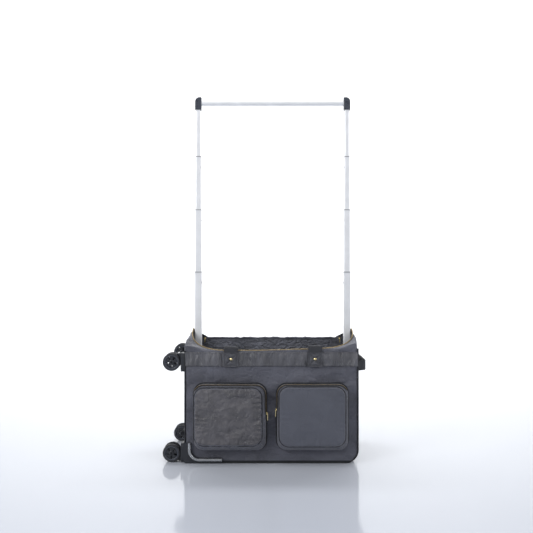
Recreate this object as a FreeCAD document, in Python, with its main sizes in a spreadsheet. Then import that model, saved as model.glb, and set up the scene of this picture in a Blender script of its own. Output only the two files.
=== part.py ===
"""Soft rolling case that lies on its long side with a telescopic garment rack standing out of its mouth.

Frame: X along the case from the wheel end (-) to the handle end (+), Y from the front (-) to the back (+),
Z up. The origin is the middle of the flat base that the case lies on. Lengths are in millimetres.
"""
import FreeCAD, Part
import math
import os

import Sketcher

Vector = FreeCAD.Vector
Rotation = FreeCAD.Rotation

DIMENSIONS = (
    ("body_length", 479, "outside length of the soft body"),
    ("body_depth", 240, "outside depth, front face to back face"),
    ("wall", 3, "sewn panel: nylon, foam and board"),
    ("corner_radius", 36, "rounding of the lower corners"),
    ("corner_height", 328, "height of the four upper corners"),
    ("front_rim_height", 309, "lowest point of the front rim, which sags"),
    ("back_rim_height", 314, "back rim, where the lid is sewn on"),
    ("peak_height", 355, "top of each end panel, half way back"),
    ("band_bottom", 266, "lower edge of the coated band"),
    ("band_top", 305.5, "upper edge of the coated band"),
    ("band_thickness", 1.2, "coated band"),
    ("zip_width", 8, "zip tape and teeth"),
    ("zip_thickness", 1.2, "zip tape and teeth"),
    ("strap_width", 38.5, "carry handle webbing and its tabs"),
    ("strap_thickness", 2.4, "carry handle webbing"),
    ("strap_middle", 4.2, "middle of the two carry handle tabs"),
    ("strap_half_spacing", 115.6, "from that middle to each tab"),
    ("strap_over_rim", 318.5, "top of the webbing where it crosses the rim"),
    ("handle_drop", 70, "carry handle, from its fold to its lower edge"),
    ("handle_grip_height", 30, "run of the carry handle between its two legs"),
    ("handle_gap", 0.4, "play between the carry handle's fold and its tabs"),
    ("grab_strap_width", 31, "grab handle strap"),
    ("grab_strap_thickness", 3.5, "grab handle strap"),
    ("grab_half_length", 80, "grab handle, from its middle to each end"),
    ("grab_foot_length", 14, "sewn foot of the grab handle"),
    ("grab_rise_length", 22, "sloping part of the grab handle"),
    ("grab_stand_off", 28.5, "finger room under the grab handle"),
    ("grab_seat", 0.4, "play between the grab handle's feet and the panel"),
    ("grab_pivot_height", 275, "upper edge of the grab handle"),
    ("rivet_radius", 3.6, "rivet head on each tab"),
    ("rivet_height", 287, "rivet above the base"),
    ("rivet_thickness", 1.5, "rivet head"),
    ("pocket_depth", 35, "front pockets stand this far off the front panel"),
    ("pocket_bottom", 40, "lower edge of both pockets"),
    ("pocket_top", 219, "upper edge of both pockets"),
    ("pocket_radius", 26, "rounding of the pocket corners"),
    ("pocket_edge_radius", 7, "rounding round the pocket face"),
    ("left_pocket_start", -212, "wheel-end side of the left pocket"),
    ("left_pocket_end", -15, "middle side of the left pocket"),
    ("right_pocket_start", 15, "middle side of the right pocket"),
    ("right_pocket_end", 209, "handle-end side of the right pocket"),
    ("left_slider_height", 146, "slider of the left pocket zip"),
    ("right_slider_height", 156, "slider of the right pocket zip"),
    ("puller_length", 18.5, "pocket zip puller"),
    ("slider_length", 9, "slider of each pocket zip"),
    ("slider_thickness", 3, "slider of each pocket zip, off the pocket's side"),
    ("pocket_zip_setback", 15, "middle of the pocket zips behind the pocket faces"),
    ("lid_length", 455, "lid flap along the rim"),
    ("lid_width", 232, "lid flap from its hinge to its free edge"),
    ("lid_thickness", 3, "lid flap"),
    ("lid_corner", 30, "rounding of the lid flap's free corners"),
    ("lid_slider_offset", 212, "from the middle of the rack to each parked slider of the mouth zip"),
    ("lid_slider_height", 14, "slider of the mouth zip"),
    ("lid_slider_width", 7, "slider of the mouth zip"),
    ("guard_height", 57, "corner guard up the wheel end"),
    ("guard_length", 106, "corner guard along the base"),
    ("guard_thickness", 2.5, "corner guard outside the panels"),
    ("guard_depth", 33, "corner guard from the face of the case inwards"),
    ("rail_radius", 4, "bright rail on each corner guard"),
    ("rail_bend", 27, "middle radius of the rail's bend"),
    ("rail_upright", 14, "middle of the rail's upright part, in from the case's end"),
    ("rail_height", 11, "middle of the rail's level part above the base"),
    ("guard_leg", 15, "height of the corner guard's leg along the base"),
    ("guard_upright", 21, "width of the corner guard's upright leg"),
    ("guard_corner", 8, "outer rounding of the corner guard"),
    ("caster_offset", 99, "caster swivel axes in front of and behind the middle"),
    ("upper_swivel", 289.5, "upper caster swivel axes above the base"),
    ("lower_swivel", 12, "lower caster swivel axes above the base"),
    ("cup_depth", 11, "caster cup off the end panel"),
    ("cup_width", 40, "caster cup across"),
    ("cup_outer", 12, "caster cup, from the swivel axis to its outer edge"),
    ("cup_inner", 40, "caster cup, from the swivel axis to its inner edge"),
    ("wheel_radius", 24.5, "caster wheel"),
    ("wheel_width", 10, "each of the two discs of a caster wheel"),
    ("wheel_trail", 13, "wheel axle off the swivel axis"),
    ("wheel_reach", 26, "wheel axle beyond the cup"),
    ("fork_width", 10.6, "caster fork, between its two discs"),
    ("axle_radius", 2.5, "caster axle"),
    ("running_fit", 0.05, "radial clearance of pins and stems"),
    ("disc_gap", 0.7, "play between the fork and each disc"),
    ("hub_radius", 7, "hub of each disc"),
    ("wheel_hole_radius", 2.3, "round holes through the web of each disc"),
    ("wheel_hole_circle", 13, "from the axle to each of those holes"),
    ("stem_radius", 5, "caster swivel stem"),
    ("rack_middle", 4.3, "the rack stands this far from the middle, clear of the wheel end"),
    ("rack_half_spacing", 219.2, "from the rack's middle to each leg"),
    ("tube_width", 22, "fixed tube of each leg, a rounded square"),
    ("tube_step", 2.5, "each stage is this much narrower than the one round it"),
    ("tube_wall", 0.9, "wall of every rack tube"),
    ("tube_corner", 2.6, "rounding of the tube corners"),
    ("tube_overlap", 45, "length of each stage that stays inside when it is out"),
    ("fixed_tube_foot", 31, "foot of the fixed tubes above the base"),
    ("shoe_foot", 26, "lower face of the shoes that the fixed tubes stand in"),
    ("shoe_height", 20, "shoes at the foot of the fixed tubes"),
    ("clamp_height", 18, "clamps near the top of the fixed tubes"),
    ("clamp_drop", 42, "clamps below the top of the fixed tubes"),
    ("chassis_board", 3, "board behind the wheel end"),
    ("fixed_tube_top", 300, "top of the fixed tubes"),
    ("rise_one", 224.7, "first stage, out of the fixed tube"),
    ("rise_two", 183.3, "second stage, out of the first"),
    ("rise_three", 156.8, "third stage, out of the second"),
    ("rise_four", 138.2, "top stage, out of the third, up to the cap"),
    ("snap_drop", 31, "snap button below the top of its tube"),
    ("snap_radius", 3, "snap button"),
    ("snap_proud", 1.1, "snap button off the tube's face"),
    ("snap_seat", 0.15, "snap button still inside the tube's wall when it is out"),
    ("snap_play", 0.2, "play between a snap button and its hole"),
    ("cap_width", 18.6, "end cap of the rack, along the bar"),
    ("cap_depth", 16, "end cap of the rack, front to back"),
    ("cap_height", 36.5, "end cap of the rack"),
    ("cap_rounding", 13, "outer shoulder of the end cap"),
    ("cap_socket", 12, "tube inside the end cap"),
    ("bar_radius", 6.8, "hanging bar"),
    ("bar_wall", 1.2, "wall of the hanging bar"),
    ("bar_drop", 17, "hanging bar below the top of its caps"),
    ("bar_socket", 6, "hanging bar inside each cap"),
    ("trolley_depth", 104, "trolley tubes behind the middle"),
    ("trolley_middle", 150, "middle of the trolley handle above the base"),
    ("trolley_half_spacing", 55, "from there to each trolley tube"),
    ("trolley_outer_radius", 8, "fixed trolley tubes"),
    ("trolley_inner_radius", 6.5, "sliding trolley tubes"),
    ("trolley_wall", 1, "wall of the trolley tubes"),
    ("trolley_outer_length", 425, "fixed trolley tubes"),
    ("trolley_inner_length", 415, "sliding trolley tubes"),
    ("trolley_gap", 13, "finger room under the stowed trolley grip"),
    ("grip_thickness", 17, "trolley grip, along its pull"),
    ("grip_width", 22, "trolley grip, front to back"),
    ("grip_overhang", 10, "trolley grip beyond the middle of each tube"),
    ("grip_rounding", 6, "edges of the trolley grip"),
    ("push_length", 30, "push button of the trolley grip"),
    ("push_width", 12, "push button of the trolley grip"),
    ("push_play", 0.3, "play round the push button"),
    ("push_proud", 1, "push button above the grip"),
    ("push_depth", 2, "push button inside the grip"),
    ("push_recess", 6, "room in the grip for the push button"),
)
SMALL = 1e-6
CASTERS = (("upper_front", 1, -1), ("upper_rear", 1, 1), ("lower_front", -1, -1), ("lower_rear", -1, 1))
LEGS = (("left", -1), ("right", 1))
WHEEL_HOLES = 5
SYMMETRIC = "Symmetric"

document = FreeCAD.newDocument("RollingGarmentCase")
sheet = document.addObject("Spreadsheet::Sheet", "Sizes")
subparts = []


class Term:
    """A length worked out from the sheet: its value now, and the expression that keeps it bound."""

    def __init__(self, value, text):
        self.value = float(value)
        self.text = text

    @staticmethod
    def of(item):
        return item if isinstance(item, Term) else Term(item, repr(float(item)))

    def __add__(self, other):
        other = Term.of(other)
        return Term(self.value + other.value, f"({self.text} + {other.text})")

    def __sub__(self, other):
        other = Term.of(other)
        return Term(self.value - other.value, f"({self.text} - {other.text})")

    def __mul__(self, factor):
        factor = Term.of(factor)
        return Term(self.value * factor.value, f"({self.text} * {factor.text})")

    def __truediv__(self, divisor):
        return Term(self.value / divisor, f"({self.text} / {divisor})")

    def __neg__(self):
        return self * -1

    __radd__ = __add__
    __rmul__ = __mul__

    def __rsub__(self, other):
        return Term.of(other) - self


class Sizes:
    """The cells of the sheet by name, each as a Term."""


def fill_sheet():
    for row, (alias, value, meaning) in enumerate(DIMENSIONS, start=1):
        sheet.set(f"A{row}", alias)
        sheet.set(f"B{row}", str(value))
        sheet.set(f"C{row}", meaning)
        sheet.setAlias(f"B{row}", alias)
        setattr(Sizes, alias, Term(value, "Sizes." + alias))
    document.recompute()


def bind(item, prop, length):
    """Binds a size of an object to the sheet."""
    item.setExpression(prop, Term.of(length).text)


def place(item, x=0, y=0, z=0):
    for axis, length in zip("xyz", (x, y, z)):
        bind(item, "Placement.Base." + axis, length)
    return item


def keep(item, name):
    """Names a finished sub-part, which gets a file of its own."""
    item.Label = name
    subparts.append(item)
    return item


def block(name, x, y, z):
    """A block between two planes on each axis."""
    item = document.addObject("Part::Box", name)
    for prop, (low, high) in zip(("Length", "Width", "Height"), (x, y, z)):
        bind(item, prop, Term.of(high) - low)
    return place(item, x[0], y[0], z[0])


def rod(name, axis, radius, length, start):
    """A cylinder along an axis from its start point."""
    turns = {"X": Rotation(Vector(0, 1, 0), 90), "Y": Rotation(Vector(1, 0, 0), -90), "Z": Rotation()}
    item = document.addObject("Part::Cylinder", name)
    bind(item, "Radius", radius)
    bind(item, "Height", length)
    item.Placement = FreeCAD.Placement(Vector(), turns[axis])
    return place(item, *start)


def pipe(name, axis, outer, inner, length, start):
    """A round tube along an axis from its start point."""
    return cut(name, rod(name + "_outside", axis, outer, length, start),
               rod(name + "_inside", axis, inner, length, start))


def group(name, items):
    item = document.addObject("Part::Compound", name)
    item.Links = list(items)
    return item


def cut(name, base, *tools):
    item = document.addObject("Part::Cut", name)
    item.Base = base
    item.Tool = tools[0] if len(tools) == 1 else group(name + "_tools", tools)
    return item


def fuse(name, *items):
    item = document.addObject("Part::MultiFuse", name)
    item.Shapes = list(items)
    return item


def common(name, first, second):
    item = document.addObject("Part::Common", name)
    item.Base = first
    item.Tool = second
    return item


def new_body(name):
    return document.addObject("PartDesign::Body", name + "_body")


def origin_feature(body, role):
    return next(feature for feature in body.Origin.OriginFeatures if feature.Role == role)


def sketch_on(body, plane):
    sketch = body.newObject("Sketcher::SketchObject", body.Name + "_sketch")
    sketch.AttachmentSupport = [(origin_feature(body, plane), "")]
    sketch.MapMode = "FlatFace"
    return sketch


def pin_point(sketch, geometry, end, x, y):
    """Holds one point of a sketch at bound distances from the sketch's origin."""
    for kind, axis, length in (("DistanceX", -2, Term.of(x)), ("DistanceY", -1, Term.of(y))):
        if abs(length.value) < SMALL:
            sketch.addConstraint(Sketcher.Constraint("PointOnObject", geometry, end, axis))
        else:
            rule = Sketcher.Constraint(kind, -1, 1, geometry, end, length.value)
            number = sketch.addConstraint(rule)
            sketch.setExpression(f"Constraints[{number}]", length.text)


def draw_outline(sketch, points, closed=True):
    """An outline or open path of points (x, y), or (x, y, x_mid, y_mid) where an arc leads on."""
    places = [Vector(Term.of(p[0]).value, Term.of(p[1]).value, 0) for p in points]
    first = sketch.GeometryCount
    spans = len(points) if closed else len(points) - 1
    joints = []
    for number, point in enumerate(points[:spans]):
        start = places[number]
        end = places[(number + 1) % len(points)]
        backwards = False
        if len(point) == 2:
            sketch.addGeometry(Part.LineSegment(start, end), False)
        else:
            # a sketch keeps its arcs counter-clockwise, so a clockwise one is drawn from its end
            middle = Vector(Term.of(point[2]).value, Term.of(point[3]).value, 0)
            backwards = (middle - start).cross(end - middle).z < 0
            ends = (end, start) if backwards else (start, end)
            sketch.addGeometry(Part.Arc(ends[0], middle, ends[1]), False)
        joints.append((2, 1) if backwards else (1, 2))
    for number, point in enumerate(points[:spans]):
        following = (number + 1) % len(points)
        pin_point(sketch, first + number, joints[number][0], point[0], point[1])
        if following < spans:
            sketch.addConstraint(Sketcher.Constraint(
                "Coincident", first + number, joints[number][1], first + following, joints[following][0]))
        else:
            pin_point(sketch, first + number, joints[number][1], points[following][0], points[following][1])
    for number, point in enumerate(points):
        if len(point) == 4:
            place_on_arc = Vector(Term.of(point[2]).value, Term.of(point[3]).value, 0)
            mark = sketch.addGeometry(Part.Point(place_on_arc), True)
            sketch.addConstraint(Sketcher.Constraint("PointOnObject", mark, 1, first + number))
            pin_point(sketch, mark, 1, point[2], point[3])


def draw_circle(sketch, x, y, radius):
    centre = Vector(Term.of(x).value, Term.of(y).value, 0)
    circle = sketch.addGeometry(Part.Circle(centre, Vector(0, 0, 1), Term.of(radius).value), False)
    pin_point(sketch, circle, 3, x, y)
    number = sketch.addConstraint(Sketcher.Constraint("Radius", circle, Term.of(radius).value))
    sketch.setExpression(f"Constraints[{number}]", Term.of(radius).text)


def pad(body, sketch, length, both_ways=True, backwards=False):
    feature = body.newObject("PartDesign::Pad", body.Name + "_pad")
    feature.Profile = sketch
    bind(feature, "Length", length)
    feature.SideType = SYMMETRIC if both_ways else "One side"
    feature.Reversed = backwards
    document.recompute()
    return feature


def pocket(body, sketch, length=None, backwards=False):
    """Cuts a sketch out of a body: right through, or to a depth, and always takes something away."""
    before = body.Shape.Volume
    feature = body.newObject("PartDesign::Pocket", body.Name + "_pocket")
    feature.Profile = sketch
    if length is None:
        feature.Type = "ThroughAll"
        feature.SideType = SYMMETRIC
    else:
        bind(feature, "Length", length)
        feature.Reversed = backwards
    document.recompute()
    if body.Shape.Volume > before - SMALL:
        raise RuntimeError(f"{body.Name}: the pocket takes nothing away")
    return feature


def edge_names(shape, wanted):
    return [f"Edge{number}" for number, edge in enumerate(shape.Edges, start=1) if wanted(edge)]


def runs_along(edge, direction):
    """True for a straight edge in a direction."""
    if edge.Curve.TypeId != "Part::GeomLine":
        return False
    return abs(abs(edge.tangentAt(edge.FirstParameter).dot(direction)) - 1) < SMALL


def round_edges(body, feature, radius, wanted):
    names = edge_names(feature.Shape, wanted)
    fillet = body.newObject("PartDesign::Fillet", body.Name + "_fillet")
    fillet.Base = (feature, names)
    bind(fillet, "Radius", radius)
    document.recompute()
    return fillet


def rectangle(width, height, x=0, y=0):
    """The four corners of a rectangle about a middle."""
    signs = ((-1, -1), (1, -1), (1, 1), (-1, 1))
    return [(Term.of(x) + width * (i / 2), Term.of(y) + height * (j / 2)) for i, j in signs]


def rounded_plate(name, plane, width, height, radius, thickness, direction):
    """A plate with four rounded corners, about the middle of its own plane."""
    body = new_body(name)
    sketch = sketch_on(body, plane)
    draw_outline(sketch, rectangle(width, height))
    plate = pad(body, sketch, thickness)
    round_edges(body, plate, radius, lambda edge: runs_along(edge, direction))
    return body


def make_panels():
    """Front, back, base and the two ends of the sewn body."""
    along_y = Vector(0, 1, 0)
    tops = (("front_panel", -1, Sizes.front_rim_height, Sizes.corner_height),
            ("back_panel", 1, Sizes.back_rim_height, Sizes.back_rim_height))
    for name, side, middle_height, corner_height in tops:
        body = new_body(name)
        sketch = sketch_on(body, "XZ_Plane")
        outline = [(-half_length, 0), (half_length, 0),
                   (half_length, corner_height), (-half_length, corner_height)]
        if middle_height is not corner_height:
            outline[2] += (0, middle_height)
        draw_outline(sketch, outline)
        panel = pad(body, sketch, Sizes.wall)
        round_edges(body, panel, Sizes.corner_radius,
                    lambda edge: runs_along(edge, along_y) and edge.CenterOfMass.z < 1)
        place(body, y=(half_depth - Sizes.wall / 2) * side)
        keep(body, name)

    radius = Sizes.corner_radius
    inside = radius - Sizes.wall
    diagonal = math.sqrt(0.5)
    bend = half_length - radius
    body = new_body("base_panel")
    sketch = sketch_on(body, "XZ_Plane")
    draw_outline(sketch, [
        (-half_length, radius, -bend - radius * diagonal, radius - radius * diagonal),
        (-bend, 0),
        (bend, 0, bend + radius * diagonal, radius - radius * diagonal),
        (half_length, radius),
        (half_length - Sizes.wall, radius, bend + inside * diagonal, radius - inside * diagonal),
        (bend, Sizes.wall),
        (-bend, Sizes.wall, -bend - inside * diagonal, radius - inside * diagonal),
        (Sizes.wall - half_length, radius),
    ])
    pad(body, sketch, inner_depth * 2)
    keep(body, "base_panel")

    for name, side in (("wheel_end", -1), ("handle_end", 1)):
        body = new_body(name)
        sketch = sketch_on(body, "YZ_Plane")
        draw_outline(sketch, [
            (-inner_depth, radius),
            (inner_depth, radius),
            (inner_depth, Sizes.corner_height, 0, Sizes.peak_height),
            (-inner_depth, Sizes.corner_height),
        ])
        pad(body, sketch, Sizes.wall)
        place(body, x=(half_length - Sizes.wall / 2) * side)
        if side > 0:
            hole_radius = Sizes.trolley_outer_radius + Sizes.running_fit
            holes = [rod(f"trolley_hole_{level}", "X", hole_radius, Sizes.wall,
                         (inner_length, Sizes.trolley_depth, trolley_height(level)))
                     for level in (-1, 1)]
            body = cut(name, body, *holes)
        keep(body, name + "_panel")


def make_band_and_tabs():
    """The coated band, the two stitched tabs that go over the rim, and their rivets."""
    front = -half_depth
    face = front - Sizes.band_thickness
    reach = half_length - 2
    band = block("band", (-reach, reach), (face, front), (Sizes.band_bottom, Sizes.band_top))
    keep(band, "front_band")

    outside = face - Sizes.strap_thickness
    top = Sizes.strap_over_rim
    end = handle_pivot_depth - Sizes.strap_thickness - Sizes.handle_gap
    tabs = []
    rivets = []
    for name, side in LEGS:
        middle = Sizes.strap_middle + Sizes.strap_half_spacing * side
        body = new_body(name + "_tab")
        sketch = sketch_on(body, "YZ_Plane")
        draw_outline(sketch, [
            (outside, Sizes.band_bottom),
            (face, Sizes.band_bottom),
            (face, top - Sizes.strap_thickness),
            (end, top - Sizes.strap_thickness),
            (end, top),
            (outside, top),
        ])
        pad(body, sketch, Sizes.strap_width)
        tabs.append(place(body, x=middle))
        rivets.append(rod(name + "_rivet", "Y", Sizes.rivet_radius, Sizes.rivet_thickness,
                          (middle, outside - Sizes.rivet_thickness, Sizes.rivet_height)))
    keep(group("tabs", tabs), "handle_tabs")
    keep(group("rivets", rivets), "handle_rivets")


def make_carry_handle():
    """Webbing loop hinged where it crosses the rim; it lies inside the mouth."""
    half = Sizes.strap_thickness / 2
    depth = (handle_pivot_depth - half, handle_pivot_depth + half)
    low = handle_pivot_height - Sizes.handle_drop
    pieces = []
    for name, side in LEGS:
        middle = Sizes.strap_middle + Sizes.strap_half_spacing * side
        start = middle - Sizes.strap_width / 2
        pieces.append(block(name + "_handle_leg", (start, start + Sizes.strap_width), depth,
                            (low, handle_pivot_height)))
        pieces.append(rod(name + "_handle_fold", "X", Sizes.strap_thickness, Sizes.strap_width,
                          (start, handle_pivot_depth, handle_pivot_height)))
    reach = Sizes.strap_half_spacing + Sizes.strap_width / 2
    grip = (Sizes.strap_middle - reach, Sizes.strap_middle + reach)
    pieces.append(block("handle_grip_run", grip, depth, (low, low + Sizes.handle_grip_height)))
    keep(fuse("carry", *pieces), "carry_handle")


def make_mouth_zip():
    """Zip along the front rim and over both end panels, on their inside."""
    below_edge = 0.5
    top = Sizes.corner_height - below_edge
    drop = Sizes.zip_width
    strips = []
    body = new_body("front_zip")
    sketch = sketch_on(body, "XZ_Plane")
    low_middle = Sizes.front_rim_height - below_edge
    draw_outline(sketch, [
        (-inner_length, top - drop, 0, low_middle - drop),
        (inner_length, top - drop),
        (inner_length, top, 0, low_middle),
        (-inner_length, top),
    ])
    pad(body, sketch, Sizes.zip_thickness)
    strips.append(place(body, y=Sizes.zip_thickness / 2 - inner_depth))
    for name, side in LEGS:
        body = new_body(name + "_end_zip")
        sketch = sketch_on(body, "YZ_Plane")
        peak = Sizes.peak_height - below_edge
        draw_outline(sketch, [
            (-inner_depth, top - drop, 0, peak - drop),
            (inner_depth, top - drop),
            (inner_depth, top, 0, peak),
            (-inner_depth, top),
        ])
        pad(body, sketch, Sizes.zip_thickness)
        strips.append(place(body, x=(inner_length - Sizes.zip_thickness / 2) * side))
    keep(fuse("rim_zip", *strips), "mouth_zip")


def hanging_plate(name, reach, top, free_edge, corner, thickness):
    """A plate behind the case with its two lower corners rounded."""
    body = new_body(name)
    sketch = sketch_on(body, "XZ_Plane")
    draw_outline(sketch, [(-reach, free_edge), (reach, free_edge), (reach, top), (-reach, top)])
    plate = pad(body, sketch, thickness)
    round_edges(body, plate, corner,
                lambda edge: (runs_along(edge, Vector(0, 1, 0))
                              and edge.CenterOfMass.z < free_edge.value + 1))
    return place(body, y=lid_pivot_depth)


def make_lid():
    """The lid flap, open and hanging down behind the case, with its half of the zip and the two sliders."""
    reach = Sizes.lid_length / 2
    tape = Sizes.zip_width / 2
    tape_end = 12
    free_edge = lid_pivot_height - Sizes.lid_width
    flap = hanging_plate("lid", reach, lid_pivot_height, free_edge, Sizes.lid_corner, Sizes.lid_thickness)
    keep(flap, "lid_flap")
    tape_plate = hanging_plate("lid_tape", reach + tape, lid_pivot_height - tape_end, free_edge - tape,
                               Sizes.lid_corner + tape, Sizes.zip_thickness)
    room = hanging_plate("lid_room", reach, lid_pivot_height, free_edge, Sizes.lid_corner,
                         Sizes.lid_thickness)
    keep(cut("lid_edge_zip", tape_plate, room), "lid_zip")

    sliders = []
    half = Sizes.lid_slider_width / 2
    for name, side in LEGS:
        middle = Sizes.strap_middle + Sizes.lid_slider_offset * side
        sliders.append(block(name + "_lid_slider", (middle - half, middle + half),
                             (inner_depth - Sizes.wall, inner_depth),
                             (Sizes.back_rim_height - Sizes.lid_slider_height, Sizes.back_rim_height)))
    keep(group("sliders", sliders), "lid_zip_sliders")


def make_end_grab_handle():
    """Padded strap across the handle end, standing off for the fingers."""
    thick = Sizes.grab_strap_thickness
    seat = Sizes.grab_seat
    far = Sizes.grab_half_length
    foot = far - Sizes.grab_foot_length
    rise = foot - Sizes.grab_rise_length
    bend = thick / 2
    body = new_body("end_grab")
    sketch = sketch_on(body, "XY_Plane")
    near_side = [(seat, far), (seat, foot), (Sizes.grab_stand_off, rise),
                 (Sizes.grab_stand_off, -rise), (seat, -foot), (seat, -far)]
    outside = Sizes.grab_stand_off + thick
    far_side = [(seat + thick, -far), (seat + thick, -foot - bend), (outside, -rise - bend),
                (outside, rise + bend), (seat + thick, foot + bend), (seat + thick, far)]
    draw_outline(sketch, near_side + far_side)
    pad(body, sketch, Sizes.grab_strap_width)
    low_edge = Sizes.grab_pivot_height - Sizes.grab_strap_width / 2
    keep(place(body, x=half_length, z=low_edge), "end_grab_handle")


def make_pockets():
    """Two boxed pockets on the front, open at the back against the front panel."""
    along_y = Vector(0, 1, 0)
    skin = Sizes.wall
    height = Sizes.pocket_top - Sizes.pocket_bottom
    for name, start, end in pocket_spans:
        width = end - start
        body = new_body(name)
        sketch = sketch_on(body, "XZ_Plane")
        draw_outline(sketch, rectangle(width, height))
        shell = pad(body, sketch, Sizes.pocket_depth)
        shell = round_edges(body, shell, Sizes.pocket_radius, lambda edge: runs_along(edge, along_y))
        front = -Sizes.pocket_depth.value / 2
        round_edges(body, shell, Sizes.pocket_edge_radius,
                    lambda edge: (abs(edge.BoundBox.YMin - front) < SMALL
                                  and abs(edge.BoundBox.YMax - front) < SMALL))
        outside = place(body, (start + end) / 2, -half_depth - Sizes.pocket_depth / 2,
                        (Sizes.pocket_top + Sizes.pocket_bottom) / 2)
        room = rounded_plate(name + "_room", "XZ_Plane", width - skin * 2, height - skin * 2,
                             Sizes.pocket_radius - skin, Sizes.pocket_depth, along_y)
        place(room, (start + end) / 2, -half_depth - Sizes.pocket_depth / 2 + skin,
              (Sizes.pocket_top + Sizes.pocket_bottom) / 2)
        keep(cut(name + "_shell", outside, room), name)


def make_pocket_zips():
    """A zip over the top of each pocket and down its middle side, with its slider and puller."""
    along_y = Vector(0, 1, 0)
    height = Sizes.pocket_top - Sizes.pocket_bottom
    zip_depth = Sizes.pocket_zip_setback - half_depth - Sizes.pocket_depth
    proud = Sizes.zip_thickness
    pieces = []
    sliders = ((pocket_spans[0], 1, Sizes.left_slider_height),
               (pocket_spans[1], -1, Sizes.right_slider_height))
    for (name, start, end), middle_side, slider_height in sliders:
        width = end - start
        centre = ((start + end) / 2, zip_depth, (Sizes.pocket_top + Sizes.pocket_bottom) / 2)
        outer = rounded_plate(name + "_zip_outer", "XZ_Plane", width + proud * 2, height + proud * 2,
                              Sizes.pocket_radius + proud, Sizes.zip_width, along_y)
        inner = rounded_plate(name + "_zip_inner", "XZ_Plane", width, height,
                              Sizes.pocket_radius, Sizes.zip_width + Sizes.wall, along_y)
        ring = cut(name + "_zip_ring", place(outer, *centre), place(inner, *centre))
        half = Sizes.zip_width / 2
        depth = (zip_depth - half, zip_depth + half)
        over_top = block(name + "_zip_top", (start - proud, end + proud), depth,
                         (Sizes.pocket_top - Sizes.pocket_radius, Sizes.pocket_top + proud))
        side_x = end if middle_side > 0 else start - proud
        down_side = block(name + "_zip_side", (side_x, side_x + proud), depth,
                          (slider_height, Sizes.pocket_top))
        pieces.append(common(name + "_zip", ring, fuse(name + "_zip_span", over_top, down_side)))
        face = end if middle_side > 0 else start
        thick = Sizes.slider_thickness
        slider_x = (face, face + thick) if middle_side > 0 else (face - thick, face)
        half_slider = half - 0.5
        pieces.append(block(name + "_slider", slider_x, (zip_depth - half_slider, zip_depth + half_slider),
                            (slider_height - Sizes.slider_length, slider_height)))
        make_puller(name, face + (thick + 1.2) * middle_side, zip_depth, slider_height)
    keep(group("both_pocket_zips", pieces), "pocket_zips")


def make_puller(name, pivot, zip_depth, slider_height):
    """Flat puller with an eye at its foot, hanging beside its slider."""
    half_thickness = 0.8
    half_width = 3
    top = slider_height - Sizes.slider_length / 2 + 0.5
    plate = block(name + "_puller_plate", (pivot - half_thickness, pivot + half_thickness),
                  (zip_depth - half_width, zip_depth + half_width), (top - Sizes.puller_length, top))
    eye = rod(name + "_puller_eye", "X", half_width / 2, half_thickness * 2,
              (pivot - half_thickness, zip_depth, top - Sizes.puller_length + half_width))
    keep(cut(name + "_pull", plate, eye), name + "_puller")


def make_corner_guards():
    """Moulded guards on the two lower corners of the wheel end, each with a bright bent rail."""
    skin = Sizes.guard_thickness
    back = half_length + skin
    leg = Sizes.guard_leg
    bend = Sizes.rail_bend
    corner = Sizes.guard_corner
    diagonal = math.sqrt(0.5)
    inner_x = Sizes.guard_upright - back
    sweep_x = inner_x + bend
    case_height = 400
    guards = []
    rails = []
    for name, side in (("front", -1), ("rear", 1)):
        body = new_body(name + "_guard")
        sketch = sketch_on(body, "XZ_Plane")
        draw_outline(sketch, [
            (-back, Sizes.guard_height),
            (-back, corner, corner - back - corner * diagonal, corner - corner * diagonal),
            (corner - back, 0),
            (Sizes.guard_length - back, 0),
            (Sizes.guard_length - back, leg),
            (sweep_x, leg, sweep_x - bend * diagonal, leg + bend - bend * diagonal),
            (inner_x, leg + bend),
            (inner_x, Sizes.guard_height),
        ])
        pad(body, sketch, Sizes.guard_depth)
        place(body, y=(half_depth + skin - Sizes.guard_depth / 2) * side)
        case = rounded_plate(name + "_case", "XZ_Plane", Sizes.body_length, case_height, Sizes.corner_radius,
                             Sizes.body_depth, Vector(0, 1, 0))
        place(case, z=case_height / 2)
        cup = block(name + "_cup_room", (-back, -half_length + 0.1),
                    cup_span(side), (0, Sizes.lower_swivel + Sizes.cup_inner))
        guards.append(cut(name + "_corner_guard", body, case, cup))
        rails.append(make_rail(name, side))
    keep(group("guards", guards), "corner_guards")
    keep(group("rails", rails), "guard_rails")


def make_rail(name, side):
    """Round rail bent down one leg of a corner guard and along the other."""
    bend = Sizes.rail_bend
    drop = Sizes.guard_height - Sizes.rail_height
    level_end = Sizes.guard_length - Sizes.guard_thickness - Sizes.rail_upright
    bend_mark = bend * (1 - math.sqrt(0.5))
    body = new_body(name + "_rail")
    path = sketch_on(body, "XZ_Plane")
    draw_outline(path, [
        (0, 0),
        (0, bend - drop, bend_mark, bend_mark - drop),
        (bend, -drop),
        (level_end, -drop),
    ], closed=False)
    profile = sketch_on(body, "XY_Plane")
    draw_circle(profile, 0, 0, Sizes.rail_radius)
    document.recompute()
    sweep = body.newObject("PartDesign::AdditivePipe", name + "_rail_sweep")
    sweep.Profile = profile
    sweep.Spine = (path, ["Edge1", "Edge2", "Edge3"])
    document.recompute()
    across = (half_depth + Sizes.guard_thickness + Sizes.rail_radius) * side
    return place(body, Sizes.rail_upright - half_length, across, Sizes.guard_height)


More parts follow.
